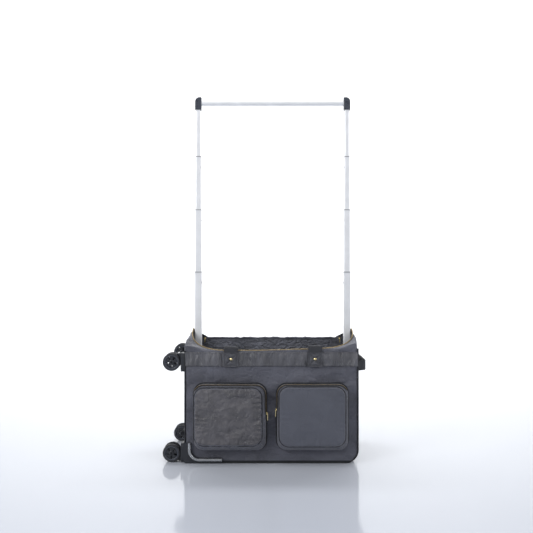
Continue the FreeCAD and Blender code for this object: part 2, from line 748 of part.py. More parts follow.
def make_casters():
    """Four twin-wheel casters: a cup on the end panel, and a fork, axle and wheel that turn."""
    cups = []
    for name, level, side in CASTERS:
        centre = (Sizes.cup_inner - Sizes.cup_outer) / 2
        cup = rounded_plate(name + "_cup", "YZ_Plane", Sizes.cup_width, Sizes.cup_inner + Sizes.cup_outer,
                            Sizes.cup_outer, Sizes.cup_depth, Vector(1, 0, 0))
        place(cup, -half_length - Sizes.cup_depth / 2, Sizes.caster_offset * side,
              swivel_height(level) - centre * level)
        bore = rod(name + "_bore", "X", Sizes.stem_radius + Sizes.running_fit, Sizes.cup_depth,
                   (-half_length - Sizes.cup_depth, Sizes.caster_offset * side, swivel_height(level)))
        cups.append(cut(name + "_caster_cup", cup, bore))
        make_fork(name, level, side)
        axle_y = Sizes.caster_offset * side - half_axle
        axle = rod(name + "_pin", "Y", Sizes.axle_radius, half_axle * 2, (axle_x, axle_y, axle_height(level)))
        keep(axle, name + "_caster_axle")
        discs = [make_disc(name, level, side, face) for face in (-1, 1)]
        keep(group(name + "_discs", discs), name + "_caster_wheel")
    keep(group("cups", cups), "caster_cups")


def make_fork(name, level, side):
    """Hooded arm between the discs, on a stem that swivels in the cup; trail points to the case's middle."""
    body = new_body(name + "_fork")
    arm = sketch_on(body, "XZ_Plane")
    reach = Sizes.wheel_reach
    boss = 8
    trail = Sizes.wheel_trail
    lean = math.sqrt(0.75) * boss
    towards = -level
    root_gap = 0.4
    hood = 11
    root = 9.5
    draw_outline(arm, [
        (-root_gap, -hood * towards),
        (-reach + boss + 2, -root * towards),
        (-reach - boss / 2, (trail - lean) * towards, -reach - boss, trail * towards),
        (-reach + boss / 2, (trail + lean) * towards),
        (-boss - 1, hood * towards),
        (-root_gap, root * towards),
    ])
    draw_circle(arm, -reach, trail * towards, Sizes.axle_radius + Sizes.running_fit)
    pad(body, arm, Sizes.fork_width)
    stem = sketch_on(body, "YZ_Plane")
    draw_circle(stem, 0, 0, Sizes.stem_radius)
    pad(body, stem, Sizes.cup_depth - 1, both_ways=False)
    neck = sketch_on(body, "YZ_Plane")
    draw_circle(neck, 0, 0, Sizes.stem_radius)
    pad(body, neck, root_gap + 0.1, both_ways=False, backwards=True)
    place(body, -half_length - Sizes.cup_depth, Sizes.caster_offset * side, swivel_height(level))
    keep(body, name + "_caster_fork")


def make_disc(name, level, side, face):
    """One disc of a caster wheel: hub, web with round holes, and tread."""
    body = new_body(f"{name}_disc_{face}")
    half_section = sketch_on(body, "YZ_Plane")
    radius = Sizes.wheel_radius
    width = Sizes.wheel_width
    hub = Sizes.hub_radius
    bore = Sizes.axle_radius + Sizes.running_fit
    outer_dish = 3.5
    inner_dish = 2
    rim = 5.5
    slope = 1.5
    draw_outline(half_section, [
        (0, bore), (width, bore), (width, hub),
        (width - outer_dish, hub + slope), (width - outer_dish, radius - rim - slope),
        (width - 1, radius - rim), (width, radius - rim + slope), (width, radius - inner_dish - 0.5),
        (width - inner_dish, radius), (inner_dish, radius), (0, radius - inner_dish), (0, radius - rim),
        (inner_dish, radius - rim - slope), (inner_dish, hub + slope), (0, hub),
    ])
    turned = body.newObject("PartDesign::Revolution", body.Name + "_turned")
    turned.Profile = half_section
    turned.ReferenceAxis = (half_section, ["H_Axis"])
    turned.Angle = 360
    document.recompute()
    hole = sketch_on(body, "XZ_Plane")
    draw_circle(hole, 0, Sizes.wheel_hole_circle, Sizes.wheel_hole_radius)
    drilled = pocket(body, hole)
    pattern = body.newObject("PartDesign::PolarPattern", body.Name + "_pattern")
    pattern.Originals = [drilled]
    pattern.Axis = (origin_feature(body, "Y_Axis"), [""])
    pattern.Angle = 360
    pattern.Occurrences = WHEEL_HOLES
    body.Tip = pattern
    document.recompute()
    if face < 0:
        body.Placement = FreeCAD.Placement(Vector(), Rotation(Vector(1, 0, 0), 180))
    offset = (Sizes.fork_width / 2 + Sizes.disc_gap) * face
    return place(body, axle_x, Sizes.caster_offset * side + offset, axle_height(level))


def make_rack():
    """Two telescopic legs of five rounded square tubes each, with snap buttons, caps and the hanging bar."""
    tops = stage_tops()
    for name, side in LEGS:
        x = Sizes.rack_middle + Sizes.rack_half_spacing * side
        for stage in range(5):
            make_tube(name, side, stage, x, tops)
        for stage in range(4):
            seat = x - (tube_width(stage) / 2 - Sizes.snap_seat) * side
            length = Sizes.snap_seat + Sizes.snap_proud
            start = seat - length if side > 0 else seat
            button = rod(f"{name}_snap_{stage}", "X", Sizes.snap_radius, length,
                         (start, 0, tops[stage] - Sizes.snap_drop))
            keep(button, f"{name}_snap_button_{stage}")

    cap_foot = tops[4]
    bar_height = cap_foot + Sizes.cap_height - Sizes.bar_drop
    caps = [make_cap(name, side, cap_foot, bar_height) for name, side in LEGS]
    keep(group("caps", caps), "bar_caps")
    half_bar = Sizes.rack_half_spacing - Sizes.cap_width / 2 + Sizes.bar_socket
    keep(pipe("bar", "X", Sizes.bar_radius, Sizes.bar_radius - Sizes.bar_wall, half_bar * 2,
              (Sizes.rack_middle - half_bar, 0, bar_height)), "hanging_bar")


def make_tube(name, side, stage, x, tops):
    """One tube of a leg. Its top carries a snap button, and its foot is drilled for the button round it."""
    width = tube_width(stage)
    bore = width - Sizes.tube_wall * 2
    if stage == 0:
        foot = Sizes.fixed_tube_foot
    else:
        foot = tops[stage - 1] - Sizes.tube_overlap
    top = tops[stage] + (Sizes.cap_socket if stage == 4 else 0)
    body = new_body(f"{name}_tube_{stage}")
    outside = sketch_on(body, "XY_Plane")
    draw_outline(outside, rectangle(width, width))
    solid = pad(body, outside, top - foot, both_ways=False)
    round_edges(body, solid, Sizes.tube_corner, lambda edge: runs_along(edge, Vector(0, 0, 1)))
    inside = sketch_on(body, "XY_Plane")
    draw_outline(inside, rectangle(bore, bore))
    pocket(body, inside)
    place(body, x, 0, foot)
    heights = [tops[stage] - Sizes.snap_drop] if stage < 4 else []
    if stage > 0:
        heights.append(tops[stage - 1] - Sizes.snap_drop)
    start = x if side < 0 else x - width
    hole_radius = Sizes.snap_radius + Sizes.snap_play
    holes = [rod(f"{name}_hole_{stage}_{number}", "X", hole_radius, width, (start, 0, height))
             for number, height in enumerate(heights)]
    keep(cut(f"{name}_stage_{stage}", body, *holes), f"{name}_rack_tube_{stage}")


def make_cap(name, side, foot, bar_height):
    """End cap: a socket for the top tube, a socket for the bar, and a rounded outer shoulder."""
    half = Sizes.cap_width / 2
    rounding = Sizes.cap_rounding
    diagonal = math.sqrt(0.5)
    high = Sizes.cap_height
    shoulder = half - rounding
    x = Sizes.rack_middle + Sizes.rack_half_spacing * side
    body = new_body(name + "_cap")
    sketch = sketch_on(body, "XZ_Plane")
    draw_outline(sketch, [
        (half * -side, 0),
        (half * side, 0),
        (half * side, high - rounding,
         (shoulder + rounding * diagonal) * side, high - rounding + rounding * diagonal),
        (shoulder * side, high),
        (half * -side, high),
    ])
    pad(body, sketch, Sizes.cap_depth)
    place(body, x, 0, foot)
    room = tube_width(4) / 2 + Sizes.running_fit
    tube_room = block(name + "_cap_socket", (x - room, x + room), (-room, room),
                      (foot, foot + Sizes.cap_socket))
    inner_side = x - half * side
    start = inner_side - Sizes.bar_socket if side < 0 else inner_side
    bar_room = rod(name + "_bar_socket", "X", Sizes.bar_radius + Sizes.running_fit, Sizes.bar_socket,
                   (start, 0, bar_height))
    return cut(name + "_end_cap", body, tube_room, bar_room)


def make_rack_mounting():
    """The board behind the wheel end, and the shoes and clamps that hold the fixed tubes."""
    board = Sizes.chassis_board
    border = 8
    case_height = 400
    keep(block("board", (-inner_length, board - inner_length), (border - inner_depth, inner_depth - border),
               (Sizes.corner_radius + border / 2, Sizes.fixed_tube_top)), "wheel_chassis")

    pieces = []
    half = tube_width(0) / 2
    cheek = 4
    clamp_top = Sizes.fixed_tube_top - Sizes.clamp_drop
    clamp = (clamp_top - Sizes.clamp_height, clamp_top)
    shoe = (Sizes.shoe_foot, Sizes.shoe_foot + Sizes.shoe_height)
    for name, side in LEGS:
        x = Sizes.rack_middle + Sizes.rack_half_spacing * side
        wall_face = board - inner_length if side < 0 else inner_length
        near = x - (half + cheek) * side
        span = (wall_face, near) if side < 0 else (near, wall_face)
        for label, height, foot in (("clamp", clamp, clamp[0]), ("shoe", shoe, Sizes.fixed_tube_foot)):
            solid = block(f"{name}_{label}_block", span, (-half - cheek, half + cheek), height)
            hole = block(f"{name}_{label}_hole", (x - half, x + half), (-half, half), (foot, height[1]))
            piece = cut(f"{name}_{label}", solid, hole)
            if label == "shoe":
                inside = rounded_plate(name + "_case_inside", "XZ_Plane", inner_length * 2, case_height,
                                       Sizes.corner_radius - Sizes.wall, (half + cheek) * 2, Vector(0, 1, 0))
                place(inside, z=Sizes.wall + case_height / 2)
                piece = common(f"{name}_{label}_trimmed", piece, inside)
            pieces.append(piece)
    keep(group("brackets", pieces), "rack_brackets")


def make_trolley():
    """Pull handle along the back wall: two fixed tubes, two sliding tubes, a grip and its button."""
    outer_end = half_length
    inner_end = half_length + Sizes.trolley_gap
    outers = []
    inners = []
    for level in (-1, 1):
        height = trolley_height(level)
        outers.append(pipe(f"trolley_outer_{level}", "X", Sizes.trolley_outer_radius,
                           Sizes.trolley_outer_radius - Sizes.trolley_wall, Sizes.trolley_outer_length,
                           (outer_end - Sizes.trolley_outer_length, Sizes.trolley_depth, height)))
        inners.append(pipe(f"trolley_inner_{level}", "X", Sizes.trolley_inner_radius,
                           Sizes.trolley_inner_radius - Sizes.trolley_wall, Sizes.trolley_inner_length,
                           (inner_end - Sizes.trolley_inner_length, Sizes.trolley_depth, height)))
    keep(group("trolley_fixed", outers), "trolley_outer_tubes")
    keep(group("trolley_sliding", inners), "trolley_inner_tubes")

    body = new_body("trolley_bar")
    sketch = sketch_on(body, "YZ_Plane")
    grip_height = (Sizes.trolley_half_spacing + Sizes.grip_overhang) * 2
    draw_outline(sketch, rectangle(Sizes.grip_width, grip_height))
    bar = pad(body, sketch, Sizes.grip_thickness)
    round_edges(body, bar, Sizes.grip_rounding,
                lambda edge: runs_along(edge, Vector(0, 0, 1)) or runs_along(edge, Vector(1, 0, 0)))
    place(body, inner_end + Sizes.grip_thickness / 2, Sizes.trolley_depth, Sizes.trolley_middle)
    outer_face = inner_end + Sizes.grip_thickness
    recess = push_block("button_recess", (outer_face - Sizes.push_recess, outer_face), Sizes.push_play)
    keep(cut("trolley_grip_bar", body, recess), "trolley_grip")
    keep(push_block("trolley_push", (outer_face - Sizes.push_depth, outer_face + Sizes.push_proud), 0),
         "trolley_button")


def push_block(name, along, play):
    """A block the size of the push button, with room round it."""
    half_width = Sizes.push_width / 2 + play
    half_height = Sizes.push_length / 2 + play
    return block(name, along, (Sizes.trolley_depth - half_width, Sizes.trolley_depth + half_width),
                 (Sizes.trolley_middle - half_height, Sizes.trolley_middle + half_height))


def swivel_height(level):
    return Sizes.upper_swivel if level > 0 else Sizes.lower_swivel


def axle_height(level):
    """Axles stand on the side of the swivel axis that faces the middle of the case."""
    return swivel_height(level) - Sizes.wheel_trail * level


def trolley_height(level):
    return Sizes.trolley_middle + Sizes.trolley_half_spacing * level


def cup_span(side):
    middle = Sizes.caster_offset * side
    return (middle - Sizes.cup_width / 2, middle + Sizes.cup_width / 2)


def tube_width(stage):
    return Sizes.tube_width - Sizes.tube_step * stage


def stage_tops():
    """Height of the top of each stage with the rack right out; the last is the foot of the end caps."""
    tops = [Sizes.fixed_tube_top]
    for rise in (Sizes.rise_one, Sizes.rise_two, Sizes.rise_three, Sizes.rise_four):
        tops.append(tops[-1] + rise)
    return tops


def check_and_write():
    """Stops on any failed object, then writes one file for each sub-part."""
    document.recompute()
    for item in document.Objects:
        if "Invalid" in item.State or "Error" in item.State:
            raise RuntimeError(f"{item.Name} failed: {item.State}")
    os.makedirs("parts", exist_ok=True)
    for item in subparts:
        if item.Shape.isNull() or not item.Shape.isValid() or not item.Shape.Solids:
            raise RuntimeError(f"{item.Label} has no valid solid")
    for item in subparts:
        item.Shape.exportStep(f"parts/{item.Label}.step")
    print(len(subparts), "sub-parts written")


fill_sheet()
half_length = Sizes.body_length / 2
half_depth = Sizes.body_depth / 2
inner_length = half_length - Sizes.wall
inner_depth = half_depth - Sizes.wall
pocket_spans = (("left_pocket", Sizes.left_pocket_start, Sizes.left_pocket_end),
                ("right_pocket", Sizes.right_pocket_start, Sizes.right_pocket_end))
handle_pivot_depth = 9 - half_depth
handle_pivot_height = Sizes.strap_over_rim - Sizes.strap_thickness / 2
lid_pivot_depth = half_depth + 3
lid_pivot_height = Sizes.back_rim_height + 3
axle_x = -half_length - Sizes.cup_depth - Sizes.wheel_reach
half_axle = Sizes.fork_width / 2 + Sizes.disc_gap + Sizes.wheel_width

make_panels()
make_band_and_tabs()
make_carry_handle()
make_mouth_zip()
make_lid()
make_end_grab_handle()
make_pockets()
make_pocket_zips()
make_corner_guards()
make_casters()
make_rack()
make_rack_mounting()
make_trolley()
check_and_write()
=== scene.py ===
"""Looks of the soft rolling garment case, lying on its long side with its rack standing out of the mouth."""
import math

import bpy
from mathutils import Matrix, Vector, noise


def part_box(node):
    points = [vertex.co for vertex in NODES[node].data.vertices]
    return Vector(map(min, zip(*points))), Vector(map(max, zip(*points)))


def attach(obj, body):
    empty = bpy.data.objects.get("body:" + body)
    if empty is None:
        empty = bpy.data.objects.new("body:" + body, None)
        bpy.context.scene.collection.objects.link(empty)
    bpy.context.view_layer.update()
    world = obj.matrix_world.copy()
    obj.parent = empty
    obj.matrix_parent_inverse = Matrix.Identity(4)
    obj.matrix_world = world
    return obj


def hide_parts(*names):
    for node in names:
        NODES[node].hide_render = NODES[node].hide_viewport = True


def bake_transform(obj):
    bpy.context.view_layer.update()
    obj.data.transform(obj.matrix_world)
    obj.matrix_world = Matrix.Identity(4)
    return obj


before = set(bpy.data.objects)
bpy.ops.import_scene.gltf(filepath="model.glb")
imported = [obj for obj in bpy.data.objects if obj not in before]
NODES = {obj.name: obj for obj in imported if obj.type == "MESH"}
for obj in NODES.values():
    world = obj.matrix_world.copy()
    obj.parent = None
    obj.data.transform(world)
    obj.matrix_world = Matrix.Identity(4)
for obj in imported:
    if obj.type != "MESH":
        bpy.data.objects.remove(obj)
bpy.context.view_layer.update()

# ---------------------------------------------------------------- sizes, all from the frame, in metres
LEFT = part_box("wheel_end_panel")[0][0]
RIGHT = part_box("handle_end_panel")[1][0]
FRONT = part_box("front_panel")[0][1]
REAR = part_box("back_panel")[1][1]
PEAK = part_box("wheel_end_panel")[1][2]
BACK_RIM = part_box("back_panel")[1][2]
BASE_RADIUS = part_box("wheel_end_panel")[0][2]
BAND_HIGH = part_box("front_band")[1][2]
ZIP_WIDTH = 0.008
FRONT_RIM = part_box("mouth_zip")[0][2] + ZIP_WIDTH + 0.0005
HALF_LENGTH = (RIGHT - LEFT) / 2
HALF_DEPTH = (REAR - FRONT) / 2
SKIN = 0.0012
WALL_CORNER = 0.008
SHELL_THICKNESS = 0.0024
WEBBING_THICKNESS = 0.0022
LID_THICKNESS = 0.0022
SEAM_PIPING_RADIUS = 0.0021
FACE_PIPING_RADIUS = 0.0022
EDGE_PIPING_RADIUS = 0.0020
TOOTH_PITCH = 0.0026
TOOTH_STAGGER = 0.0002
TAPE_THICKNESS = 0.0005
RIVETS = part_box("handle_rivets")
STRAP_SPACING = (RIVETS[1][0] - RIVETS[0][0]) - (RIVETS[1][2] - RIVETS[0][2])
STRAP_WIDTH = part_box("handle_tabs")[1][0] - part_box("handle_tabs")[0][0] - STRAP_SPACING

# the mouth, seen from above: it leans in a little at both ends and has wide corners
MOUTH_LEFT = LEFT + 0.0098
MOUTH_RIGHT = RIGHT - 0.0022
MOUTH_HALF_DEPTH = HALF_DEPTH - 0.002
MOUTH_RADII = (0.104, 0.034, 0.034, 0.104)
MOUTH_STEPS = (66, 26, 40)


# ---------------------------------------------------------------- materials
MATERIALS = {}
WAVE_PER_UNIT = 20  # the wave texture's own factor


class Shade:
    """A Principled material that is built up from procedural layers, kept under a short key."""

    def __init__(self, key, name, colour, rough, metal=0.0, sheen=0.0, coat=0.0, specular=0.5):
        self.material = bpy.data.materials.new(name)
        self.material.use_nodes = True
        self.material.diffuse_color = (*colour, 1)
        self.tree = self.material.node_tree
        self.shader = next(n for n in self.tree.nodes if n.type == "BSDF_PRINCIPLED")
        self.shader.inputs["Base Color"].default_value = (*colour, 1)
        self.shader.inputs["Roughness"].default_value = rough
        self.shader.inputs["Metallic"].default_value = metal
        self.shader.inputs["Sheen Weight"].default_value = sheen
        self.shader.inputs["Sheen Roughness"].default_value = 0.4
        self.shader.inputs["Coat Weight"].default_value = coat
        self.shader.inputs["Coat Roughness"].default_value = 0.25
        self.shader.inputs["Specular IOR Level"].default_value = specular
        self.colour = (*colour, 1)
        self.rough = rough
        self.place = self.node("ShaderNodeTexCoord").outputs["Object"]
        self.normal = None
        MATERIALS[key] = self.material

    def node(self, kind, **values):
        made = self.tree.nodes.new(kind)
        for key, value in values.items():
            setattr(made, key, value)
        return made

    def link(self, output, target):
        self.tree.links.new(output, target)

    def scaled(self, scale):
        mapping = self.node("ShaderNodeMapping")
        mapping.inputs["Scale"].default_value = scale if isinstance(scale, tuple) else (scale, scale, scale)
        self.link(self.place, mapping.inputs["Vector"])
        return mapping.outputs["Vector"]

    def noise(self, scale, detail=3.0, distortion=0.0):
        texture = self.node("ShaderNodeTexNoise")
        texture.inputs["Scale"].default_value = 1.0
        texture.inputs["Detail"].default_value = detail
        texture.inputs["Distortion"].default_value = distortion
        self.link(self.scaled(scale), texture.inputs["Vector"])
        return texture.outputs["Fac"]

    def stripes(self, pitch, scale=(1, 1, 1)):
        """Slanting ribs a pitch apart, in metres."""
        wave = self.node("ShaderNodeTexWave", bands_direction="DIAGONAL")
        wave.inputs["Scale"].default_value = 2 * math.pi / (WAVE_PER_UNIT * pitch)
        self.link(self.scaled(scale), wave.inputs["Vector"])
        return wave.outputs["Fac"]

    def ramp(self, factor, low, high, start=0.3, end=0.7):
        ramp = self.node("ShaderNodeValToRGB")
        ramp.color_ramp.elements[0].position = start
        ramp.color_ramp.elements[1].position = end
        ramp.color_ramp.elements[0].color = low
        ramp.color_ramp.elements[1].color = high
        self.link(factor, ramp.inputs["Fac"])
        return ramp.outputs["Color"]

    def tint(self, scale, spread, detail=3.0):
        """Lighter and darker patches of the base colour."""
        low = tuple(c * (1 - spread) for c in self.colour[:3]) + (1,)
        high = tuple(min(1.0, c * (1 + spread)) for c in self.colour[:3]) + (1,)
        self.link(self.ramp(self.noise(scale, detail), low, high), self.shader.inputs["Base Color"])
        return self

    def polish(self, scale, spread):
        """Rougher and smoother patches."""
        low = (max(0.02, self.rough - spread),) * 3 + (1,)
        high = (min(1.0, self.rough + spread),) * 3 + (1,)
        self.link(self.ramp(self.noise(scale, 2.0), low, high), self.shader.inputs["Roughness"])
        return self

    def bump(self, height, distance, strength=1.0):
        """Relief of a height field, on top of the relief so far."""
        node = self.node("ShaderNodeBump")
        node.inputs["Strength"].default_value = strength
        node.inputs["Distance"].default_value = distance
        self.link(height, node.inputs["Height"])
        if self.normal is not None:
            self.link(self.normal, node.inputs["Normal"])
        self.normal = node.outputs["Normal"]
        self.link(self.normal, self.shader.inputs["Normal"])
        return self

    def relief(self, scale, distance, strength=1.0, detail=3.0, distortion=0.0):
        """Relief of noise."""
        return self.bump(self.noise(scale, detail, distortion), distance, strength)

    def ribs(self, pitch, distance):
        return self.bump(self.stripes(pitch), distance)

    def weave(self, pitch, distance):
        return self.ribs(pitch, distance).bump(self.stripes(pitch, (1, 1, -1)), distance)


def make_fabrics():
    nylon = Shade("nylon", "charcoal_nylon", (0.088, 0.091, 0.116), 0.46, sheen=0.25)
    nylon.tint((9.0, 9.0, 14.0), 0.30, 5.0).polish(12.0, 0.12).weave(0.0011, 0.00030)
    nylon.relief((20.0, 20.0, 30.0), 0.011, detail=6.0, distortion=0.7)

    woven = Shade("woven", "blue_grey_nylon", (0.084, 0.090, 0.116), 0.50, sheen=0.25)
    woven.tint(6.0, 0.12).weave(0.0012, 0.00035)
    woven.relief(14.0, 0.004, 0.5, detail=4.0, distortion=0.5)

    coated = Shade("coated", "coated_fabric", (0.070, 0.067, 0.076), 0.34, coat=0.30, specular=0.65)
    coated.tint(19.0, 0.34, 6.0).polish(20.0, 0.14).weave(0.0010, 0.00012)
    coated.relief(34.0, 0.0085, detail=6.0, distortion=1.2)

    # The band's upright streaks of lighter and darker colour are painted shade and highlight of its creases.
    band = Shade("band", "band_fabric", (0.080, 0.080, 0.092), 0.32, coat=0.35, specular=0.65)
    band.tint((40.0, 12.0, 10.0), 0.40, 3.0).polish((50.0, 20.0, 14.0), 0.12).weave(0.0010, 0.00012)
    band.relief((42.0, 12.0, 12.0), 0.013, distortion=0.8)

    tab = Shade("tab", "tab_fabric", (0.058, 0.059, 0.070), 0.44, coat=0.1)
    tab.tint(40.0, 0.25).weave(0.0011, 0.00025).relief(90.0, 0.002, 0.6, detail=4.0, distortion=0.8)

    lining = Shade("lining", "dark_lining", (0.125, 0.130, 0.158), 0.50, sheen=0.3)
    lining.tint(14.0, 0.4).weave(0.0014, 0.0003)
    lining.relief((30.0, 30.0, 64.0), 0.020, detail=6.0, distortion=2.0)

    webbing = Shade("webbing", "black_webbing", (0.020, 0.021, 0.027), 0.60, sheen=0.2)
    webbing.tint(50.0, 0.25).ribs(0.0022, 0.0005).bump(webbing.stripes(0.0022, (1, 1, -1)), 0.0004)

    Shade("piping", "black_piping", (0.008, 0.009, 0.012), 0.55).tint(60.0, 0.25).ribs(0.0016, 0.0002)
    Shade("thread", "charcoal_thread", (0.065, 0.068, 0.080), 0.7).tint(300.0, 0.2).ribs(0.0006, 0.0001)
    Shade("tape", "zip_tape", (0.022, 0.022, 0.025), 0.7).tint(80.0, 0.2).weave(0.0008, 0.0002)


def make_metals():
    gold = Shade("gold", "light_gold", (0.720, 0.600, 0.320), 0.24, metal=1.0)
    gold.tint(90.0, 0.12).polish(200.0, 0.08).relief(500.0, 0.00006)

    teeth = Shade("teeth", "gold_teeth", (0.420, 0.320, 0.170), 0.38, metal=0.8)
    teeth.tint(140.0, 0.2).polish(260.0, 0.1).relief(700.0, 0.00005, detail=2.0)

    silver = Shade("silver", "silver_rail", (0.420, 0.430, 0.450), 0.28, metal=0.85)
    silver.tint(35.0, 0.1).polish(90.0, 0.08).relief(400.0, 0.00006)

    steel = Shade("steel", "plain_steel", (0.520, 0.530, 0.550), 0.30, metal=1.0)
    steel.tint(120.0, 0.08).relief((60.0, 900.0, 60.0), 0.00004, detail=2.0)

    aluminium = Shade("aluminium", "satin_aluminium", (0.860, 0.870, 0.890), 0.38, metal=0.30)
    aluminium.tint(26.0, 0.05).polish(30.0, 0.04).relief((1800.0, 1800.0, 12.0), 0.00003, 0.5, detail=2.0)


def make_plastics():
    plastic = Shade("plastic", "black_plastic", (0.018, 0.020, 0.026), 0.40)
    plastic.tint(30.0, 0.15).polish(60.0, 0.07).relief(900.0, 0.00012, 0.7, detail=2.0)

    rubber = Shade("rubber", "wheel_rubber", (0.024, 0.025, 0.030), 0.55)
    rubber.tint(60.0, 0.25).polish(50.0, 0.10).relief(600.0, 0.00012, 0.8)

    # Slate plastic for the bar caps; the wheel rims also use it, lighter than the black plastic, as a
    # painted highlight.
    cap = Shade("cap", "slate_plastic_and_rim_highlight", (0.045, 0.050, 0.066), 0.30)
    cap.tint(40.0, 0.12).polish(80.0, 0.05).relief(800.0, 0.00008, 0.6, detail=2.0)

    collar = Shade("collar", "grey_collar", (0.300, 0.310, 0.330), 0.45)
    collar.tint(80.0, 0.1).relief(900.0, 0.00006, detail=2.0)


make_fabrics()
make_metals()
make_plastics()


# ---------------------------------------------------------------- mesh helpers
def smooth(value):
    value = max(0.0, min(1.0, value))
    return value * value * (3 - 2 * value)


def ripple(x, y, z):
    return noise.noise(Vector((x, y, z)))


def finish_piece(item, body, replaces=()):
    """Places a piece on its body, with the CAD nodes it stands for."""
    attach(item, body)
    if replaces:
        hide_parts(*replaces)
    return item


def mesh_piece(name, points, faces, materials, face_materials=None):
    mesh = bpy.data.meshes.new(name)
    mesh.from_pydata([tuple(p) for p in points], [], faces)
    for material in materials:
        mesh.materials.append(MATERIALS[material])
    mesh.polygons.foreach_set("use_smooth", [True] * len(mesh.polygons))
    if face_materials:
        mesh.polygons.foreach_set("material_index", face_materials)
    mesh.update()
    item = bpy.data.objects.new(name, mesh)
    bpy.context.scene.collection.objects.link(item)
    return item


def ring_faces(count, rings, first=0):
    """Quads between closed rings of points."""
    faces = []
    for level in range(rings - 1):
        for k in range(count):
            low = first + level * count + k
            low_next = first + level * count + (k + 1) % count
            faces.append((low, low_next, low_next + count, low + count))
    return faces


def cap_faces(first, count):
    """Quads that close a ring by joining its points in pairs across it."""
    last = first + count - 1
    return [(first + k, first + k + 1, last - 1 - k, last - k) for k in range(count // 2 - 1)]


def tube_faces(count, rings):
    """Quads between closed rings of points, with a flat face over both ends."""
    last = (rings - 1) * count
    ends = [tuple(range(count))[::-1], tuple(last + k for k in range(count))]
    return ring_faces(count, rings) + ends


def grid_faces(columns, rows):
    """Quads between rows of points."""
    starts = [r * columns + c for r in range(rows - 1) for c in range(columns - 1)]
    return [(k, k + 1, k + columns + 1, k + columns) for k in starts]


def rounded(half_x, half_y, radii, steps, crowd=1.0):
    """Points and outward directions anticlockwise round a rounded rectangle, as many whatever its size.

    radii are for the front right, rear right, rear left and front left corners. steps are the points on
    each long side, short side and corner. Above 1, crowd draws a corner's points towards its middle.
    """
    pairs = []
    corners = ((-1, -1), (1, -1), (1, 1), (-1, 1))
    for side in range(4):
        angle = math.radians(90 * side - 90)
        out = Vector((math.cos(angle), math.sin(angle)))
        along = Vector((-out.y, out.x))
        start, end = [Vector((half_x * sx, half_y * sy))
                      for sx, sy in (corners[side], corners[(side + 1) % 4])]
        start = start + along * radii[side - 1]
        end = end - along * radii[side]
        run = steps[0] if side % 2 == 0 else steps[1]
        for i in range(run):
            pairs.append((start.lerp(end, i / run), out))
        for i in range(steps[2]):
            turned = 2 * i / steps[2] - 1
            turn = angle + math.pi / 4 * (1 + math.copysign(abs(turned) ** crowd, turned))
            direction = Vector((math.cos(turn), math.sin(turn)))
            pairs.append((end - out * radii[side] + direction * radii[side], direction))
    return pairs


def outline(half_x, half_y, radius, steps):
    return [place for place, _ in rounded(half_x, half_y, (radius,) * 4, steps)]


def add_solidify(item, thickness, inner=0, rim=0):
    modifier = item.modifiers.new("Thickness", "SOLIDIFY")
    modifier.thickness = thickness
    modifier.offset = -1
    modifier.material_offset = inner
    modifier.material_offset_rim = rim


def add_subdivision(item):
    modifier = item.modifiers.new("Smooth", "SUBSURF")
    modifier.levels = 1
    modifier.render_levels = 1


def add_bevel(item, width):
    modifier = item.modifiers.new("Edges", "BEVEL")
    modifier.width = width
    modifier.segments = 2
    modifier.limit_method = "ANGLE"
    modifier.angle_limit = math.radians(40)


def cord_line(name, points, radius, material, closed=False):
    """A round bead, such as piping, along points."""
    curve = bpy.data.curves.new(name, "CURVE")
    curve.dimensions = "3D"
    curve.bevel_depth = radius
    curve.bevel_resolution = 3
    spline = curve.splines.new("POLY")
    spline.points.add(len(points) - 1)
    for point, place in zip(spline.points, points):
        point.co = (*place, 1)
    spline.use_cyclic_u = closed
    curve.use_fill_caps = not closed
    curve.materials.append(MATERIALS[material])
    item = bpy.data.objects.new(name, curve)
    bpy.context.scene.collection.objects.link(item)
    return item


def walk(points, pitch):
    """Places and directions at equal steps along a line of points."""
    placed = []
    left = pitch / 2
    for start, end in zip(points, points[1:]):
        step = end - start
        length = step.length
        if length < 1e-9:
            continue
        direction = step / length
        while left <= length:
            placed.append((start + direction * left, direction))
            left += pitch
        left -= length
    return placed


def blocks_along(name, lines, pitch, size, material, facing, stagger=0.0):
    """Small tapered blocks, such as zip teeth or stitches, at equal steps along lines.

    size is along the line, across it and off the surface; facing(point) is the surface's outward direction.
    """
    points = []
    faces = []
    for line in lines:
        for number, (place, along) in enumerate(walk(line, pitch)):
            out = facing(place)
            across = along.cross(out).normalized()
            out = across.cross(along).normalized()
            place = place + across * stagger * (1 if number % 2 else -1)
            first = len(points)
            for level, narrow in ((0, 1.0), (1, 0.72)):
                for i, j in ((-1, -1), (1, -1), (1, 1), (-1, 1)):
                    points.append(place + along * (i * size[0] / 2 * narrow)
                                  + across * (j * size[1] / 2 * narrow) + out * (size[2] * level))
            faces.append((first + 4, first + 7, first + 6, first + 5))
            for k in range(4):
                m = (k + 1) % 4
                faces.append((first + k, first + 4 + k, first + 4 + m, first + m))
    return mesh_piece(name, points, faces, [material])


def stitches(name, lines, kind, out, body="bag"):
    """Rows of short threads along lines, on a surface that faces out."""
    pitch, size = kind
    rows = blocks_along(name, lines, pitch, size, "thread", lambda place: Vector(out))
    finish_piece(rows, body)


def strap(name, line, acrosses, widths, thicknesses, material):
    """A flat band with rounded edges along a line. Its normal is the line's way crossed with across."""
    section = outline(0.5, 0.5, 0.35, (3, 1, 2))
    count = len(section)
    points = []
    last = len(line) - 1
    for number, place in enumerate(line):
        along = (line[min(last, number + 1)] - line[max(0, number - 1)]).normalized()
        across = acrosses[number]
        normal = along.cross(across).normalized()
        for corner in section:
            points.append(place + across * (corner.x * widths[number])
                          + normal * (corner.y * thicknesses[number]))
    return mesh_piece(name, points, tube_faces(count, last + 1), [material])


